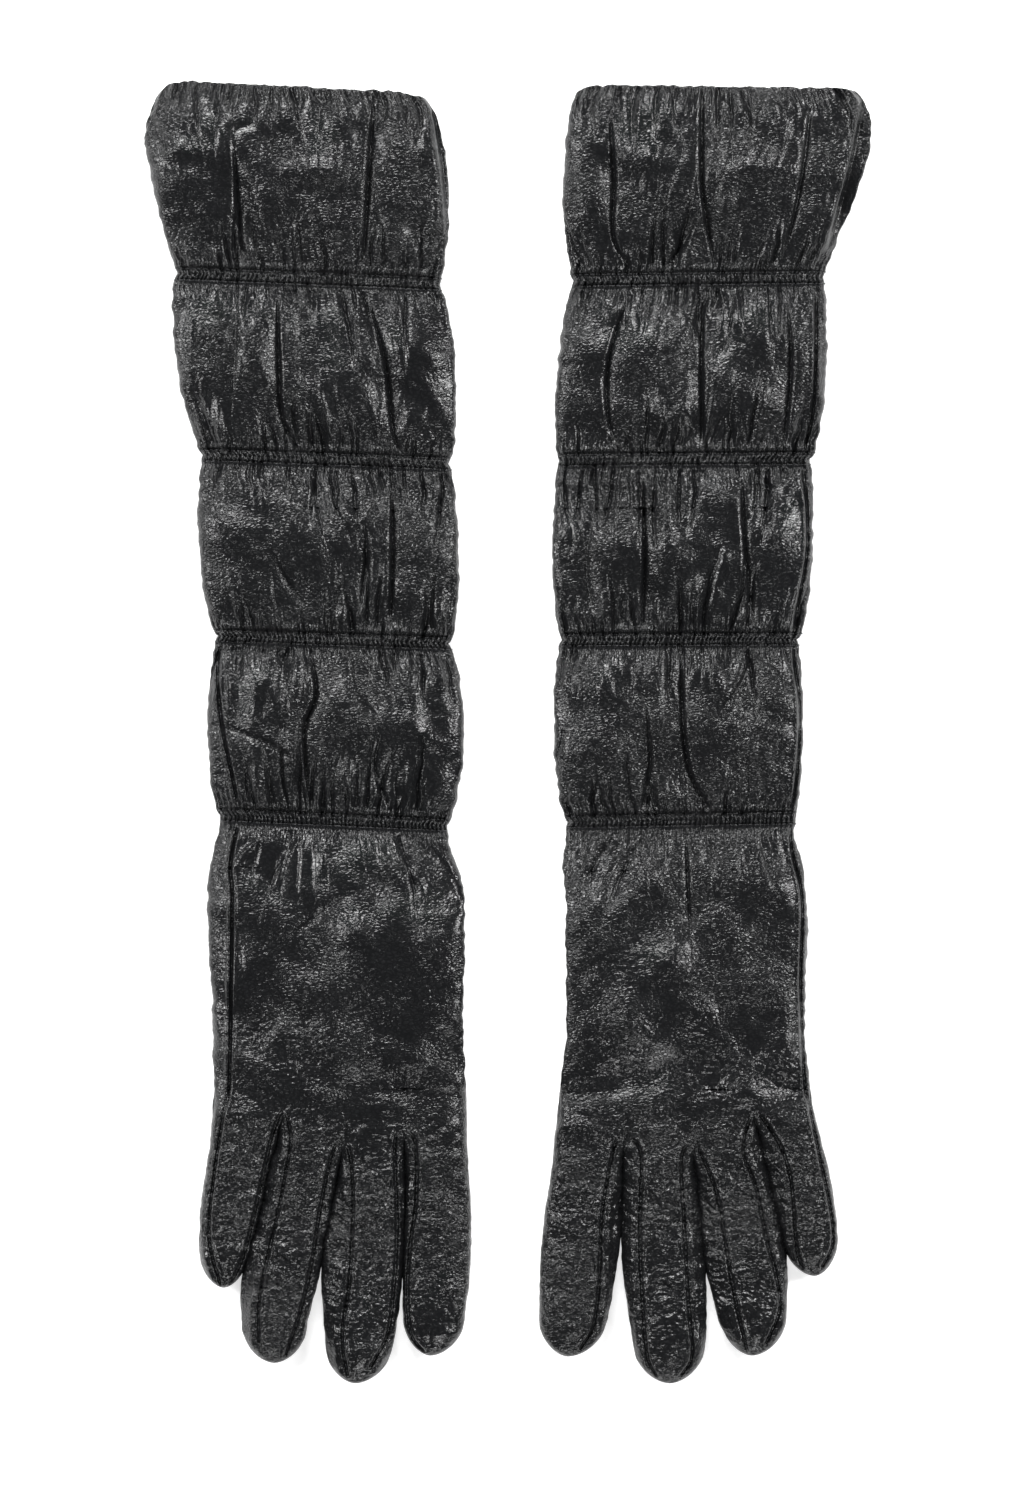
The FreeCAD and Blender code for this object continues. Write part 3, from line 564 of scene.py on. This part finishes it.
def tube(name, rings, cap_start=True, cap_end=True):
    """A mesh through rings of points, closed round, with a cap at each end that is asked for."""
    rows, count = rings.shape[:2]
    points = rings.reshape(-1, 3)
    i = np.arange(rows - 1)[:, None] * count
    j = np.arange(count)[None]
    k = (j + 1) % count
    quads = np.stack([i + j, i + count + j, i + count + k, i + k], -1).reshape(-1, 4)
    faces = quads.tolist()
    extra = []
    for wanted, row, turn in ((cap_start, 0, 1), (cap_end, rows - 1, -1)):
        if wanted:
            middle = rings[row].mean(0)
            centre = len(points) + len(extra)
            extra.append(middle)
            ring = [row * count + n for n in range(count)]
            faces += [(centre, *(ring[n], ring[(n + 1) % count])[::turn]) for n in range(count)]
    if extra:
        points = np.concatenate([points, np.array(extra)])
    return mesh_object(name, points, faces)


def mesh_object(name, points, faces, smooth=True):
    mesh = bpy.data.meshes.new(name)
    mesh.from_pydata((np.asarray(points) * MM).tolist(), [], [tuple(f) for f in faces])
    mesh.validate()
    mesh.update()
    made = bpy.data.objects.new(name, mesh)
    bpy.context.scene.collection.objects.link(made)
    if smooth:
        mesh.polygons.foreach_set("use_smooth", np.ones(len(mesh.polygons), bool))
    return made


def paint(obj, attribute, values):
    """Stores one number a vertex as a named point attribute."""
    layer = obj.data.attributes.new(attribute, "FLOAT", "POINT")
    full = np.zeros(len(obj.data.vertices), np.float32)
    full[: len(values)] = values
    layer.data.foreach_set("value", full)


def sharpen(obj, groups):
    """Edges with both ends in one of the groups stay crisp, so that the shading doesn't run round them."""
    ends = np.zeros(len(obj.data.edges) * 2, int)
    obj.data.edges.foreach_get("vertices", ends)
    ends = ends.reshape(-1, 2)
    crisp = np.zeros(len(ends), bool)
    for group in groups:
        member = np.zeros(len(obj.data.vertices), bool)
        member[group] = True
        crisp |= member[ends[:, 0]] & member[ends[:, 1]]
    layer = obj.data.attributes.get("sharp_edge") or obj.data.attributes.new("sharp_edge", "BOOLEAN", "EDGE")
    layer.data.foreach_set("value", crisp)


def crisp_ends(obj, rings):
    count = rings.shape[1]
    last = (rings.shape[0] - 1) * count
    sharpen(obj, [np.arange(count), np.arange(last, last + count)])


def stitches(name, lines, pitch, long, radius, above):
    """Short threads laid along lines of points with their normals, as one mesh."""
    points, faces = [], []
    sides = 6
    turn = np.arange(sides) / sides * 2 * math.pi
    marks = np.linspace(-1, 1, 6)
    swell_of = np.sqrt(np.clip(1.04 - marks**2, 0.05, 1))
    for line, normal in lines:
        steps = np.linalg.norm(np.diff(line, axis=0), axis=1)
        run = np.concatenate([[0], np.cumsum(steps)])
        for middle in np.arange(pitch / 2, run[-1] - long / 2, pitch):
            at = middle + marks * long / 2
            core = np.stack([np.interp(at, run, line[:, c]) for c in range(3)], 1)
            out = np.stack([np.interp(at, run, normal[:, c]) for c in range(3)], 1)
            out /= np.linalg.norm(out, axis=1)[:, None]
            ahead = np.gradient(core, axis=0)
            ahead /= np.linalg.norm(ahead, axis=1)[:, None]
            across = np.cross(ahead, out)
            core = core + out * (above - 0.25 * marks[:, None] ** 2 * radius * 2)
            base = len(points)
            for c, o, a, s in zip(core, out, across, swell_of):
                points += [c + radius * s * (math.cos(t) * o + math.sin(t) * a) for t in turn]
            for r in range(len(marks) - 1):
                for n in range(sides):
                    a, b = base + r * sides + n, base + r * sides + (n + 1) % sides
                    faces.append((a, b, b + sides, a + sides))
            faces.append(tuple(base + n for n in reversed(range(sides))))
            faces.append(tuple(base + (len(marks) - 1) * sides + n for n in range(sides)))
    return mesh_object(name, points, faces)


# ---------------------------------------------------------------------------------------------------------------
# A finger, or the thumb.


class Digit:
    power = 3.0
    round_long = 14.0  # how much of its length the tip takes to close

    def __init__(self, glove, finger):
        self.glove = glove
        self.name = f"{glove.side}_{finger}"
        self.data = DIGITS[self.name]
        self.root = glove.knuckles
        self.tip_x, self.tip_y = self.data["tip"]
        self.seed = glove.seed + 20 + 3 * FINGERS.index(finger)
        low, high = glove.edges(np.array([self.root]))
        left_fork, right_fork = self.data["forks"]
        left, right = curve(self.data["left"], [self.root])[0], curve(self.data["right"], [self.root])[0]
        self.fix = (0 if left_fork else low[0] - left, 0 if right_fork else high[0] - right)

    def edges(self, y):
        left, right = curve(self.data["left"], y), curve(self.data["right"], y)
        start = 1 - ease((self.root - y) / 10)
        rough = ease((self.root - y) / 6) * ease((y - self.tip_y) / 10)
        lap = [0.0 if fork is None else 0.6 * ease((self.root - y) / 8) for fork in self.data["forks"]]
        left = left + self.fix[0] * start + 0.2 * rough * noise(y / 3.4, 1.5, self.seed) - lap[0]
        right = right + self.fix[1] * start + 0.2 * rough * noise(y / 3.4, 8.5, self.seed) + lap[1]
        t = np.clip((y - self.tip_y) / self.round_long, 0, 1)
        close = np.clip(1 - (1 - t) ** 2, 0, 1) ** 0.58
        return self.tip_x + (left - self.tip_x) * close, self.tip_x + (right - self.tip_x) * close, close

    def share(self, across, y):
        """Each side is round, but at the fork it starts as the flat cut through the hand's leather."""
        full = share_at(across, self.power)
        grown = []
        for fork in self.data["forks"]:
            grown.append(np.ones_like(y) if fork is None else ease((fork + 1.5 - y) / 11.0))
        k = np.where(across < 0, grown[0], grown[1])
        return 1 - k * (1 - full), k

    def levels(self, y, close):
        down = (self.root - y) / (self.root - self.tip_y)
        floor = 2.1 * (1 - ease(down / 0.5)) + 0.4
        roof = 13.2 - 2.2 * ease(down / 0.55) + 0.6 * bell(down - 0.55, 0.2)
        middle = (floor + roof) * 0.40
        return middle - (middle - floor) * close ** 0.8, middle + (roof - middle) * close ** 0.8, middle

    def seams(self, x, y):
        out = np.zeros(x.shape)
        for points, way in zip(self.data["seams"], (-1, 1)):
            if points is None:
                continue
            path = [(px, py) for py, px in points]
            d, along = along_path(path, x, y)
            d = -d * way
            outside = ease(d / 1.2) * (1 - ease((d - 5) / 3))
            start = ease((along - 0.0) / 0.06)
            beads = 1 + 0.22 * np.sin(2 * math.pi * y / 2.1)
            out += start * (0.75 * beads * bell(d + 0.95, 0.75) - 1.5 * bell(d, 0.45) + 0.45 * bell(d - 1.15, 0.6))
            out += start * (0.8 * bell(d - 2.6, 1.2) - 0.5 * outside)
            fine = noise(x / 2.0, y / 1.6, self.seed + 1)
            out += -0.22 * np.exp(-np.abs(fine) / 0.3) * bell(d + 2.2, 2.0)
        return out

    def creases(self, x, y):
        """Wrinkles across the finger from wearing, deepest over its joints."""
        s = self.seed
        warp = 1.6 * noise(x / 5.0, y / 7.0, s + 2)
        lines = noise(x / 9.0 + 40, (y + warp) / 1.7, s + 3)
        small = noise(x / 4.0, (y + warp) / 0.95, s + 4)
        down = (self.root - y) / (self.root - self.tip_y)
        worn = 0.35 + 0.75 * bell(down - 0.42, 0.13) + 0.65 * bell(down - 0.70, 0.10)
        fade = ease(down / 0.12)
        deep = -1.0 * np.exp(-np.abs(lines) / 0.2) - 0.45 * np.exp(-np.abs(small) / 0.2)
        slow = 1.0 * noise(x / 9.0, y / 5.5, s + 5) + 0.15 * noise(x / 3.0, y / 2.5, s + 6)
        return fade * (worn * deep + slow)

    def height(self, across, y, x, close, back):
        g = self.glove
        low, high = g.edges(np.full(1, self.root))
        across_g = np.clip((x - (low + high) / 2) / ((high - low) / 2), -1, 1)
        share_g = share_at(across_g, g.power)
        over = g.top if back else g.bottom
        hand = over(across_g, share_g, y, x)
        share, k = self.share(across, y)
        floor, roof, middle = self.levels(y, close)
        if back:
            calm = ease(share / 0.5) * close**0.5
            own = middle + (roof - middle) * share + calm * (self.creases(x, y) + self.seams(x, y))
        else:
            own = middle - (middle - floor) * share**0.75
        w = ease((self.root - y) / 12.0)
        return hand * (1 - w) + own * w

    def ys(self):
        straight = np.arange(self.root, self.tip_y + self.round_long, -0.5)
        turn = np.linspace(0, math.pi / 2 - 0.035, 34)[1:]
        return np.concatenate([straight, self.tip_y + self.round_long * (1 - np.sin(turn))])

    def rings(self, top_count=84, bottom_count=40):
        ys = self.ys()
        parts = []
        for count, back in ((top_count, True), (bottom_count, False)):
            nodes, _ = section_nodes(count, self.power, 22.0, 7.0)
            across = np.tile(nodes[None], (len(ys), 1))
            y = np.tile(ys[:, None], (1, count))
            left, right, close = self.edges(y)
            x = (left + right) / 2 + (right - left) / 2 * across
            z = self.height(across, y, x, close, back)
            points = np.stack([x, y, z], -1)
            parts.append(points if back else points[:, ::-1][:, 1:-1])
        return ys, np.concatenate(parts, 1)

    def build(self):
        ys, rings = self.rings()
        made = tube(f"{self.name}_leather", rings)
        count = rings.shape[1]
        groups = [np.arange(count)]
        for column, fork in zip((0, 83), self.data["forks"]):
            if fork is not None:
                rows = np.nonzero(ys > fork - 5)[0]
                groups.append(rows * count + column)
        sharpen(made, groups)
        return made

    def seam_lines(self):
        """The two seams on the surface, with upward normals, for the stitches."""
        lines = []
        for points in self.data["seams"]:
            if points is None:
                continue
            path = smooth_path([(px, py) for py, px in points], 12)
            path = path[path[:, 1] > self.tip_y + 3.5]
            left, right, close = self.edges(path[:, 1])
            across = np.clip((path[:, 0] - (left + right) / 2) / ((right - left) / 2), -0.97, 0.97)
            z = self.height(across, path[:, 1], path[:, 0], close, True)
            line = np.column_stack([path, z])
            lines.append((line[6:], np.tile([0.0, 0.0, 1.0], (len(line) - 6, 1))))
        return lines


def thumb_rings(side):
    """The thumb lies flat under the palm: a narrow tube that closes round at its tip, with a seam on each side."""
    low, high = (np.array(c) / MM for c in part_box(f"{side}_thumb_leather"))
    seed = 140 if side == "right" else 150
    heel, tip_y = high[1] - 1.5, low[1] + 0.2
    inward = -1 if side == "right" else 1
    straight = np.arange(heel - 9, tip_y + 12, -0.7)
    turn = np.linspace(0, math.pi / 2 - 0.05, 20)[1:]
    ys = np.concatenate([heel - 9 * (1 - np.sin(turn[::-1])), straight, tip_y + 12 * (1 - np.sin(turn))])
    middle = (low[0] + high[0]) / 2
    parts = []
    for count, back in ((60, True), (60, False)):
        nodes, share = section_nodes(count, 2.8, 21.0, 5.0)
        u = np.tile(nodes[None], (len(ys), 1))
        s = np.tile(share[None], (len(ys), 1))
        y = np.tile(ys[:, None], (1, count))
        t = np.clip((y - tip_y) / 12, 0, 1)
        from_heel = np.clip((heel - y) / 9, 0, 1)
        close = np.sqrt(np.clip(1 - (1 - t) ** 2, 0, 1) * np.clip(1 - (1 - from_heel) ** 2, 0, 1))
        down = (heel - y) / (heel - tip_y)
        x = middle + inward * (down - 0.5) * 5.0 + close * u * (9.2 - 1.0 * down + 0.3 * noise(y / 5, 0.5, seed))
        warp = 1.4 * noise(x / 5, y / 7, seed + 1)
        lines = -0.35 * np.exp(-np.abs(noise(x / 9, (y + warp) / 1.8, seed + 2)) / 0.2)
        seam = -0.7 * bell(np.abs(u) - 0.72, 0.035) + 0.35 * bell(np.abs(u) - 0.62, 0.07)
        if back:
            z = 3.2 + 2.9 * s * close**0.8 + ease(s / 0.5) * close**0.5 * (lines + seam * 0.6) * 0.8
        else:
            z = 3.2 - 2.7 * s**0.8 * close**0.8
        points = np.stack([x, y, z], -1)
        parts.append(points if back else points[:, ::-1][:, 1:-1])
    return np.concatenate(parts, 1)


# ---------------------------------------------------------------------------------------------------------------
# Materials.


def shader(name):
    material = bpy.data.materials.new(name)
    material.use_nodes = True
    nodes = material.node_tree.nodes
    nodes.clear()
    return material, nodes, material.node_tree.links


def node(nodes, kind, inputs=None, **settings):
    made = nodes.new(kind)
    for key, value in settings.items():
        setattr(made, key, value)
    for key, value in (inputs or {}).items():
        made.inputs[key].default_value = value
    return made


def leather_material():
    """Nappa: shallow pebbles parted by fine grooves, satin on their tops, over a slower unevenness. The base colour
    carries painted shade: darker in the grooves, lighter on the pebble tops.
    """
    material, nodes, links = shader("black_nappa")
    out = node(nodes, "ShaderNodeOutputMaterial")
    skin = node(nodes, "ShaderNodeBsdfPrincipled", {"IOR": 1.45, "Specular IOR Level": 0.5})
    where = node(nodes, "ShaderNodeTexCoord")
    grain_space = node(nodes, "ShaderNodeMapping", {"Scale": (0.6, 1.05, 0.8)})
    links.new(where.outputs["Object"], grain_space.inputs["Vector"])
    wobble = node(nodes, "ShaderNodeTexNoise", {"Scale": 500.0, "Detail": 2.0})
    links.new(grain_space.outputs["Vector"], wobble.inputs["Vector"])
    bend = node(nodes, "ShaderNodeVectorMath", {1: (0.0012, 0.0012, 0.0012)}, operation="MULTIPLY_ADD")
    links.new(wobble.outputs["Color"], bend.inputs[0])
    links.new(grain_space.outputs["Vector"], bend.inputs[2])
    cells = node(nodes, "ShaderNodeTexVoronoi", {"Scale": 950.0}, feature="DISTANCE_TO_EDGE")
    links.new(bend.outputs["Vector"], cells.inputs["Vector"])
    pebble = node(nodes, "ShaderNodeMapRange", {"From Min": 0.0, "From Max": 0.36}, interpolation_type="SMOOTHSTEP")
    links.new(cells.outputs["Distance"], pebble.inputs["Value"])
    broad = node(nodes, "ShaderNodeTexNoise", {"Scale": 330.0, "Detail": 3.0, "Roughness": 0.6})
    links.new(grain_space.outputs["Vector"], broad.inputs["Vector"])
    patches = node(nodes, "ShaderNodeTexNoise", {"Scale": 38.0, "Detail": 3.0, "Roughness": 0.6})
    links.new(where.outputs["Object"], patches.inputs["Vector"])
    strength = node(nodes, "ShaderNodeMapRange", {"From Min": 0.35, "From Max": 0.65, "To Min": 0.35, "To Max": 1.0})
    links.new(patches.outputs["Fac"], strength.inputs["Value"])
    fine = node(nodes, "ShaderNodeBump", {"Distance": 0.00014})
    links.new(strength.outputs["Result"], fine.inputs["Strength"])
    links.new(pebble.outputs["Result"], fine.inputs["Height"])
    coarse = node(nodes, "ShaderNodeBump", {"Strength": 1.0, "Distance": 0.0001})
    links.new(broad.outputs["Fac"], coarse.inputs["Height"])
    links.new(fine.outputs["Normal"], coarse.inputs["Normal"])
    links.new(coarse.outputs["Normal"], skin.inputs["Normal"])
    gloss = node(nodes, "ShaderNodeMapRange", {"From Min": 0.3, "From Max": 0.7, "To Min": 0.23, "To Max": 0.3})
    links.new(patches.outputs["Fac"], gloss.inputs["Value"])
    links.new(gloss.outputs["Result"], skin.inputs["Roughness"])
    shine = node(nodes, "ShaderNodeMapRange", {"To Min": 0.4, "To Max": 0.62})
    links.new(pebble.outputs["Result"], shine.inputs["Value"])
    links.new(shine.outputs["Result"], skin.inputs["Specular IOR Level"])
    # Painted shade: the base colour is darker in the grain's grooves and lighter on the pebble tops, in place of the
    # pebbles' own shading.
    pebble_shade_colour = node(nodes, "ShaderNodeMix", data_type="RGBA")
    pebble_shade_colour.inputs["A"].default_value = (0.0060, 0.0062, 0.0068, 1)
    pebble_shade_colour.inputs["B"].default_value = (0.0095, 0.0098, 0.0106, 1)
    links.new(pebble.outputs["Result"], pebble_shade_colour.inputs["Factor"])
    links.new(pebble_shade_colour.outputs["Result"], skin.inputs["Base Color"])
    links.new(skin.outputs["BSDF"], out.inputs["Surface"])
    return material


def thread_material():
    material, nodes, links = shader("black_thread")
    out = node(nodes, "ShaderNodeOutputMaterial")
    fibre = node(nodes, "ShaderNodeBsdfPrincipled",
                 {"Base Color": (0.022, 0.023, 0.026, 1), "Roughness": 0.5, "Sheen Weight": 0.2})
    where = node(nodes, "ShaderNodeTexCoord")
    twist = node(nodes, "ShaderNodeTexWave", {"Scale": 900.0, "Distortion": 1.0}, bands_direction="DIAGONAL")
    links.new(where.outputs["Object"], twist.inputs["Vector"])
    bump = node(nodes, "ShaderNodeBump", {"Strength": 0.7, "Distance": 0.0001})
    links.new(twist.outputs["Fac"], bump.inputs["Height"])
    links.new(bump.outputs["Normal"], fibre.inputs["Normal"])
    links.new(fibre.outputs["BSDF"], out.inputs["Surface"])
    return material


def elastic_material():
    material, nodes, links = shader("black_elastic")
    out = node(nodes, "ShaderNodeOutputMaterial")
    cloth = node(nodes, "ShaderNodeBsdfPrincipled", {"Base Color": (0.02, 0.02, 0.021, 1), "Roughness": 0.85})
    where = node(nodes, "ShaderNodeTexCoord")
    ribs = node(nodes, "ShaderNodeTexWave", {"Scale": 350.0, "Distortion": 0.4}, bands_direction="Y")
    links.new(where.outputs["Object"], ribs.inputs["Vector"])
    bump = node(nodes, "ShaderNodeBump", {"Strength": 1.0, "Distance": 0.0002})
    links.new(ribs.outputs["Fac"], bump.inputs["Height"])
    links.new(bump.outputs["Normal"], cloth.inputs["Normal"])
    links.new(cloth.outputs["BSDF"], out.inputs["Surface"])
    return material


LOOKS = {"leather": leather_material(), "thread": thread_material(), "elastic": elastic_material()}


def finish_piece(obj, look):
    obj.data.materials.append(LOOKS[look])
    return obj


# ---------------------------------------------------------------------------------------------------------------
# The gloves.

WRIST_BEND = (-46.0, -19.0)  # y of the stretch that bends at the wrist, hand to forearm
FOLD_BEND = (78.0, 104.0)  # and at the middle of the forearm
LINING_DEEP = 60.0


def bend_piece(obj, joint):
    if joint == "wrist":
        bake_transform(obj)
    else:
        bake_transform(obj)


def build_glove(side):
    glove = Glove(side)
    top = section_nodes(420, glove.power, 84.0, 9.0)
    bottom = section_nodes(64, glove.power, 84.0, 9.0)
    rough_top = section_nodes(130, glove.power, 84.0, 9.0)
    rough_bottom = section_nodes(60, glove.power, 84.0, 9.0)

    hand = glove.ring_heights(glove.steps(WRIST_BEND[0], glove.knuckles), top, bottom)
    piece = finish_piece(tube(f"{side}_hand_back_and_palm", hand), "leather")
    crisp_ends(piece, hand)
    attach(piece, f"{side}_hand")
    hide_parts(f"{side}_hand_leather")

    forearm = glove.ring_heights(glove.steps(FOLD_BEND[0], WRIST_BEND[0]), top, bottom)
    piece = finish_piece(tube(f"{side}_lower_puffs", forearm), "leather")
    crisp_ends(piece, forearm)
    bend_piece(piece, "wrist")
    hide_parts(f"{side}_puff_3_leather", f"{side}_puff_4_leather")

    outside = np.concatenate([[glove.hem - 0.3], glove.steps(glove.hem - 0.8, FOLD_BEND[0])])
    inside = np.linspace(glove.hem - LINING_DEEP, glove.hem - 0.5, 16)
    around = section_nodes(360, glove.power, 84.0, 9.0), section_nodes(56, glove.power, 84.0, 9.0)
    outer = glove.ring_heights(outside, *around)
    lining = glove.ring_heights(inside, *around, inset=1.2)
    lip = glove.ring_heights(np.array([glove.hem - 0.25]), *around, inset=0.85)
    edge = glove.ring_heights(np.array([glove.hem]), *around, inset=0.45)
    cuff = np.concatenate([lining, lip, edge, outer])
    piece = finish_piece(tube(f"{side}_upper_puffs", cuff), "leather")
    crisp_ends(piece, cuff)
    bend_piece(piece, "fold")
    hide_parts(f"{side}_puff_1_leather", f"{side}_puff_2_leather")

    for n, row in enumerate(glove.rows, 1):
        lines = []
        for y in (row - STITCH_APART, row + STITCH_APART):
            ring = glove.ring_heights(np.array([y]), rough_top, rough_bottom)[0]
            ring = np.concatenate([ring, ring[:1]])
            ahead = np.gradient(ring, axis=0)
            out = np.cross(ahead, [0.0, 1.0, 0.0])
            out /= np.linalg.norm(out, axis=1)[:, None]
            middle = ring.mean(0)
            if (out * (ring - middle)).sum() < 0:
                out = -out
            lines.append((ring, out))
        thread = finish_piece(stitches(f"{side}_row_{n}_thread", lines, 2.3, 1.7, 0.3, 0.12), "thread")
        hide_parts(f"{side}_row_{n}_stitching")

        bands = [glove.ring_heights(np.array([row + d]), rough_top, rough_bottom, inset=i)
                 for d, i in ((-1.2, 2.5), (-1.2, 1.5), (1.2, 1.5), (1.2, 2.5))]
        band = np.concatenate(bands + bands[:1])
        tape = finish_piece(tube(f"{side}_row_{n}_tape", band, False, False), "elastic")
        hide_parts(f"{side}_row_{n}_elastic")
        for obj in (thread, tape):
            if n in (2, 4):
                bend_piece(obj, "fold" if n == 2 else "wrist")
            else:
                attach(obj, f"{side}_cuff" if n == 1 else f"{side}_forearm")

    bands = [glove.ring_heights(np.array([glove.hem + d]), rough_top, rough_bottom, inset=i)
             for d, i in ((-7.0, 2.6), (-7.0, 1.6), (-2.0, 1.6), (-2.0, 2.6))]
    tape = finish_piece(tube(f"{side}_hem_tape", np.concatenate(bands + bands[:1]), False, False), "elastic")
    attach(tape, f"{side}_cuff")
    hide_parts(f"{side}_hem_elastic")

    parts = {
        "pinky": ("back", "palm", "fourchette"),
        "ring": ("back", "palm", "inner_fourchette", "outer_fourchette"),
        "middle": ("back", "palm", "inner_fourchette", "outer_fourchette"),
        "index": ("trank", "fourchette"),
    }
    for finger in FINGERS:
        digit = Digit(glove, finger)
        piece = finish_piece(digit.build(), "leather")
        thread = finish_piece(stitches(f"{side}_{finger}_thread", digit.seam_lines(), 2.2, 1.3, 0.2, 0.02), "thread")
        for obj in (piece, thread):
            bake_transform(obj)
        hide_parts(*(f"{side}_{finger}_{part}" for part in parts[finger]))

    rings = thumb_rings(side)
    thumb = finish_piece(tube(f"{side}_thumb_tube", rings), "leather")
    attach(thumb, f"{side}_thumb")
    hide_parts(f"{side}_thumb_leather")


for side in HANDS:
    build_glove(side)

# ---------------------------------------------------------------------------------------------------------------
# Floor, light and camera.

material, nodes, links = shader("white_floor")
out = node(nodes, "ShaderNodeOutputMaterial")
paper = node(nodes, "ShaderNodeBsdfPrincipled", {
    "Base Color": (0.92, 0.92, 0.92, 1), "Roughness": 1.0, "Specular IOR Level": 0.0,
    "Emission Color": (1, 1, 1, 1), "Emission Strength": 0.56,
})
links.new(paper.outputs["BSDF"], out.inputs["Surface"])
bpy.ops.mesh.primitive_plane_add(size=8.0, location=(0, 0, -0.0004))
floor = bpy.context.object
floor.name = "studio_floor"
floor.data.materials.append(material)

world = bpy.data.worlds.new("studio")
bpy.context.scene.world = world
world.use_nodes = True
nodes, links = world.node_tree.nodes, world.node_tree.links
nodes.clear()
ambient = node(nodes, "ShaderNodeBackground", {"Color": (1, 1, 1, 1), "Strength": 0.04})
backdrop = node(nodes, "ShaderNodeBackground", {"Color": (1, 1, 1, 1), "Strength": 0.96})
seen = node(nodes, "ShaderNodeLightPath")
either = node(nodes, "ShaderNodeMixShader")
links.new(seen.outputs["Is Camera Ray"], either.inputs["Fac"])
links.new(ambient.outputs["Background"], either.inputs[1])
links.new(backdrop.outputs["Background"], either.inputs[2])
links.new(either.outputs["Shader"], node(nodes, "ShaderNodeOutputWorld").inputs["Surface"])


def soft_box(name, power, size, place, target=(0.0, 0.0, 0.0)):
    light = bpy.data.lights.new(name, "AREA")
    light.shape = "RECTANGLE"
    light.size, light.size_y = size
    light.energy = power
    made = bpy.data.objects.new(name, light)
    bpy.context.scene.collection.objects.link(made)
    made.location = place
    made.rotation_euler = (Vector(target) - Vector(place)).to_track_quat("-Z", "Y").to_euler()
    return made


soft_box("key_light", 38.0, (1.0, 0.3), (-0.3, 1.5, 1.3))
soft_box("left_light", 26.0, (0.3, 1.0), (-1.6, 0.3, 1.0))
soft_box("right_light", 32.0, (0.3, 1.0), (1.6, 0.4, 1.05))
soft_box("low_light", 17.0, (1.0, 0.3), (0.2, -1.8, 1.1))

VIEW_MIDDLE = (0.0015, -0.0039)  # the photograph's centre over the gloves
VIEW_HIGH = 0.5106  # and how much it covers from top to bottom
CAMERA_HIGH = 3.0
glove_high = cad_high[2] * 0.6
lens = bpy.data.cameras.new("photo_camera")
lens.sensor_fit = "VERTICAL"
lens.angle = 2 * math.atan(VIEW_HIGH / 2 / (CAMERA_HIGH - glove_high))
lens.clip_end = 20.0
camera = bpy.data.objects.new("photo_camera", lens)
bpy.context.scene.collection.objects.link(camera)
camera.location = (*VIEW_MIDDLE, CAMERA_HIGH)
bpy.context.scene.camera = camera
bpy.context.scene.view_settings.view_transform = "Standard"
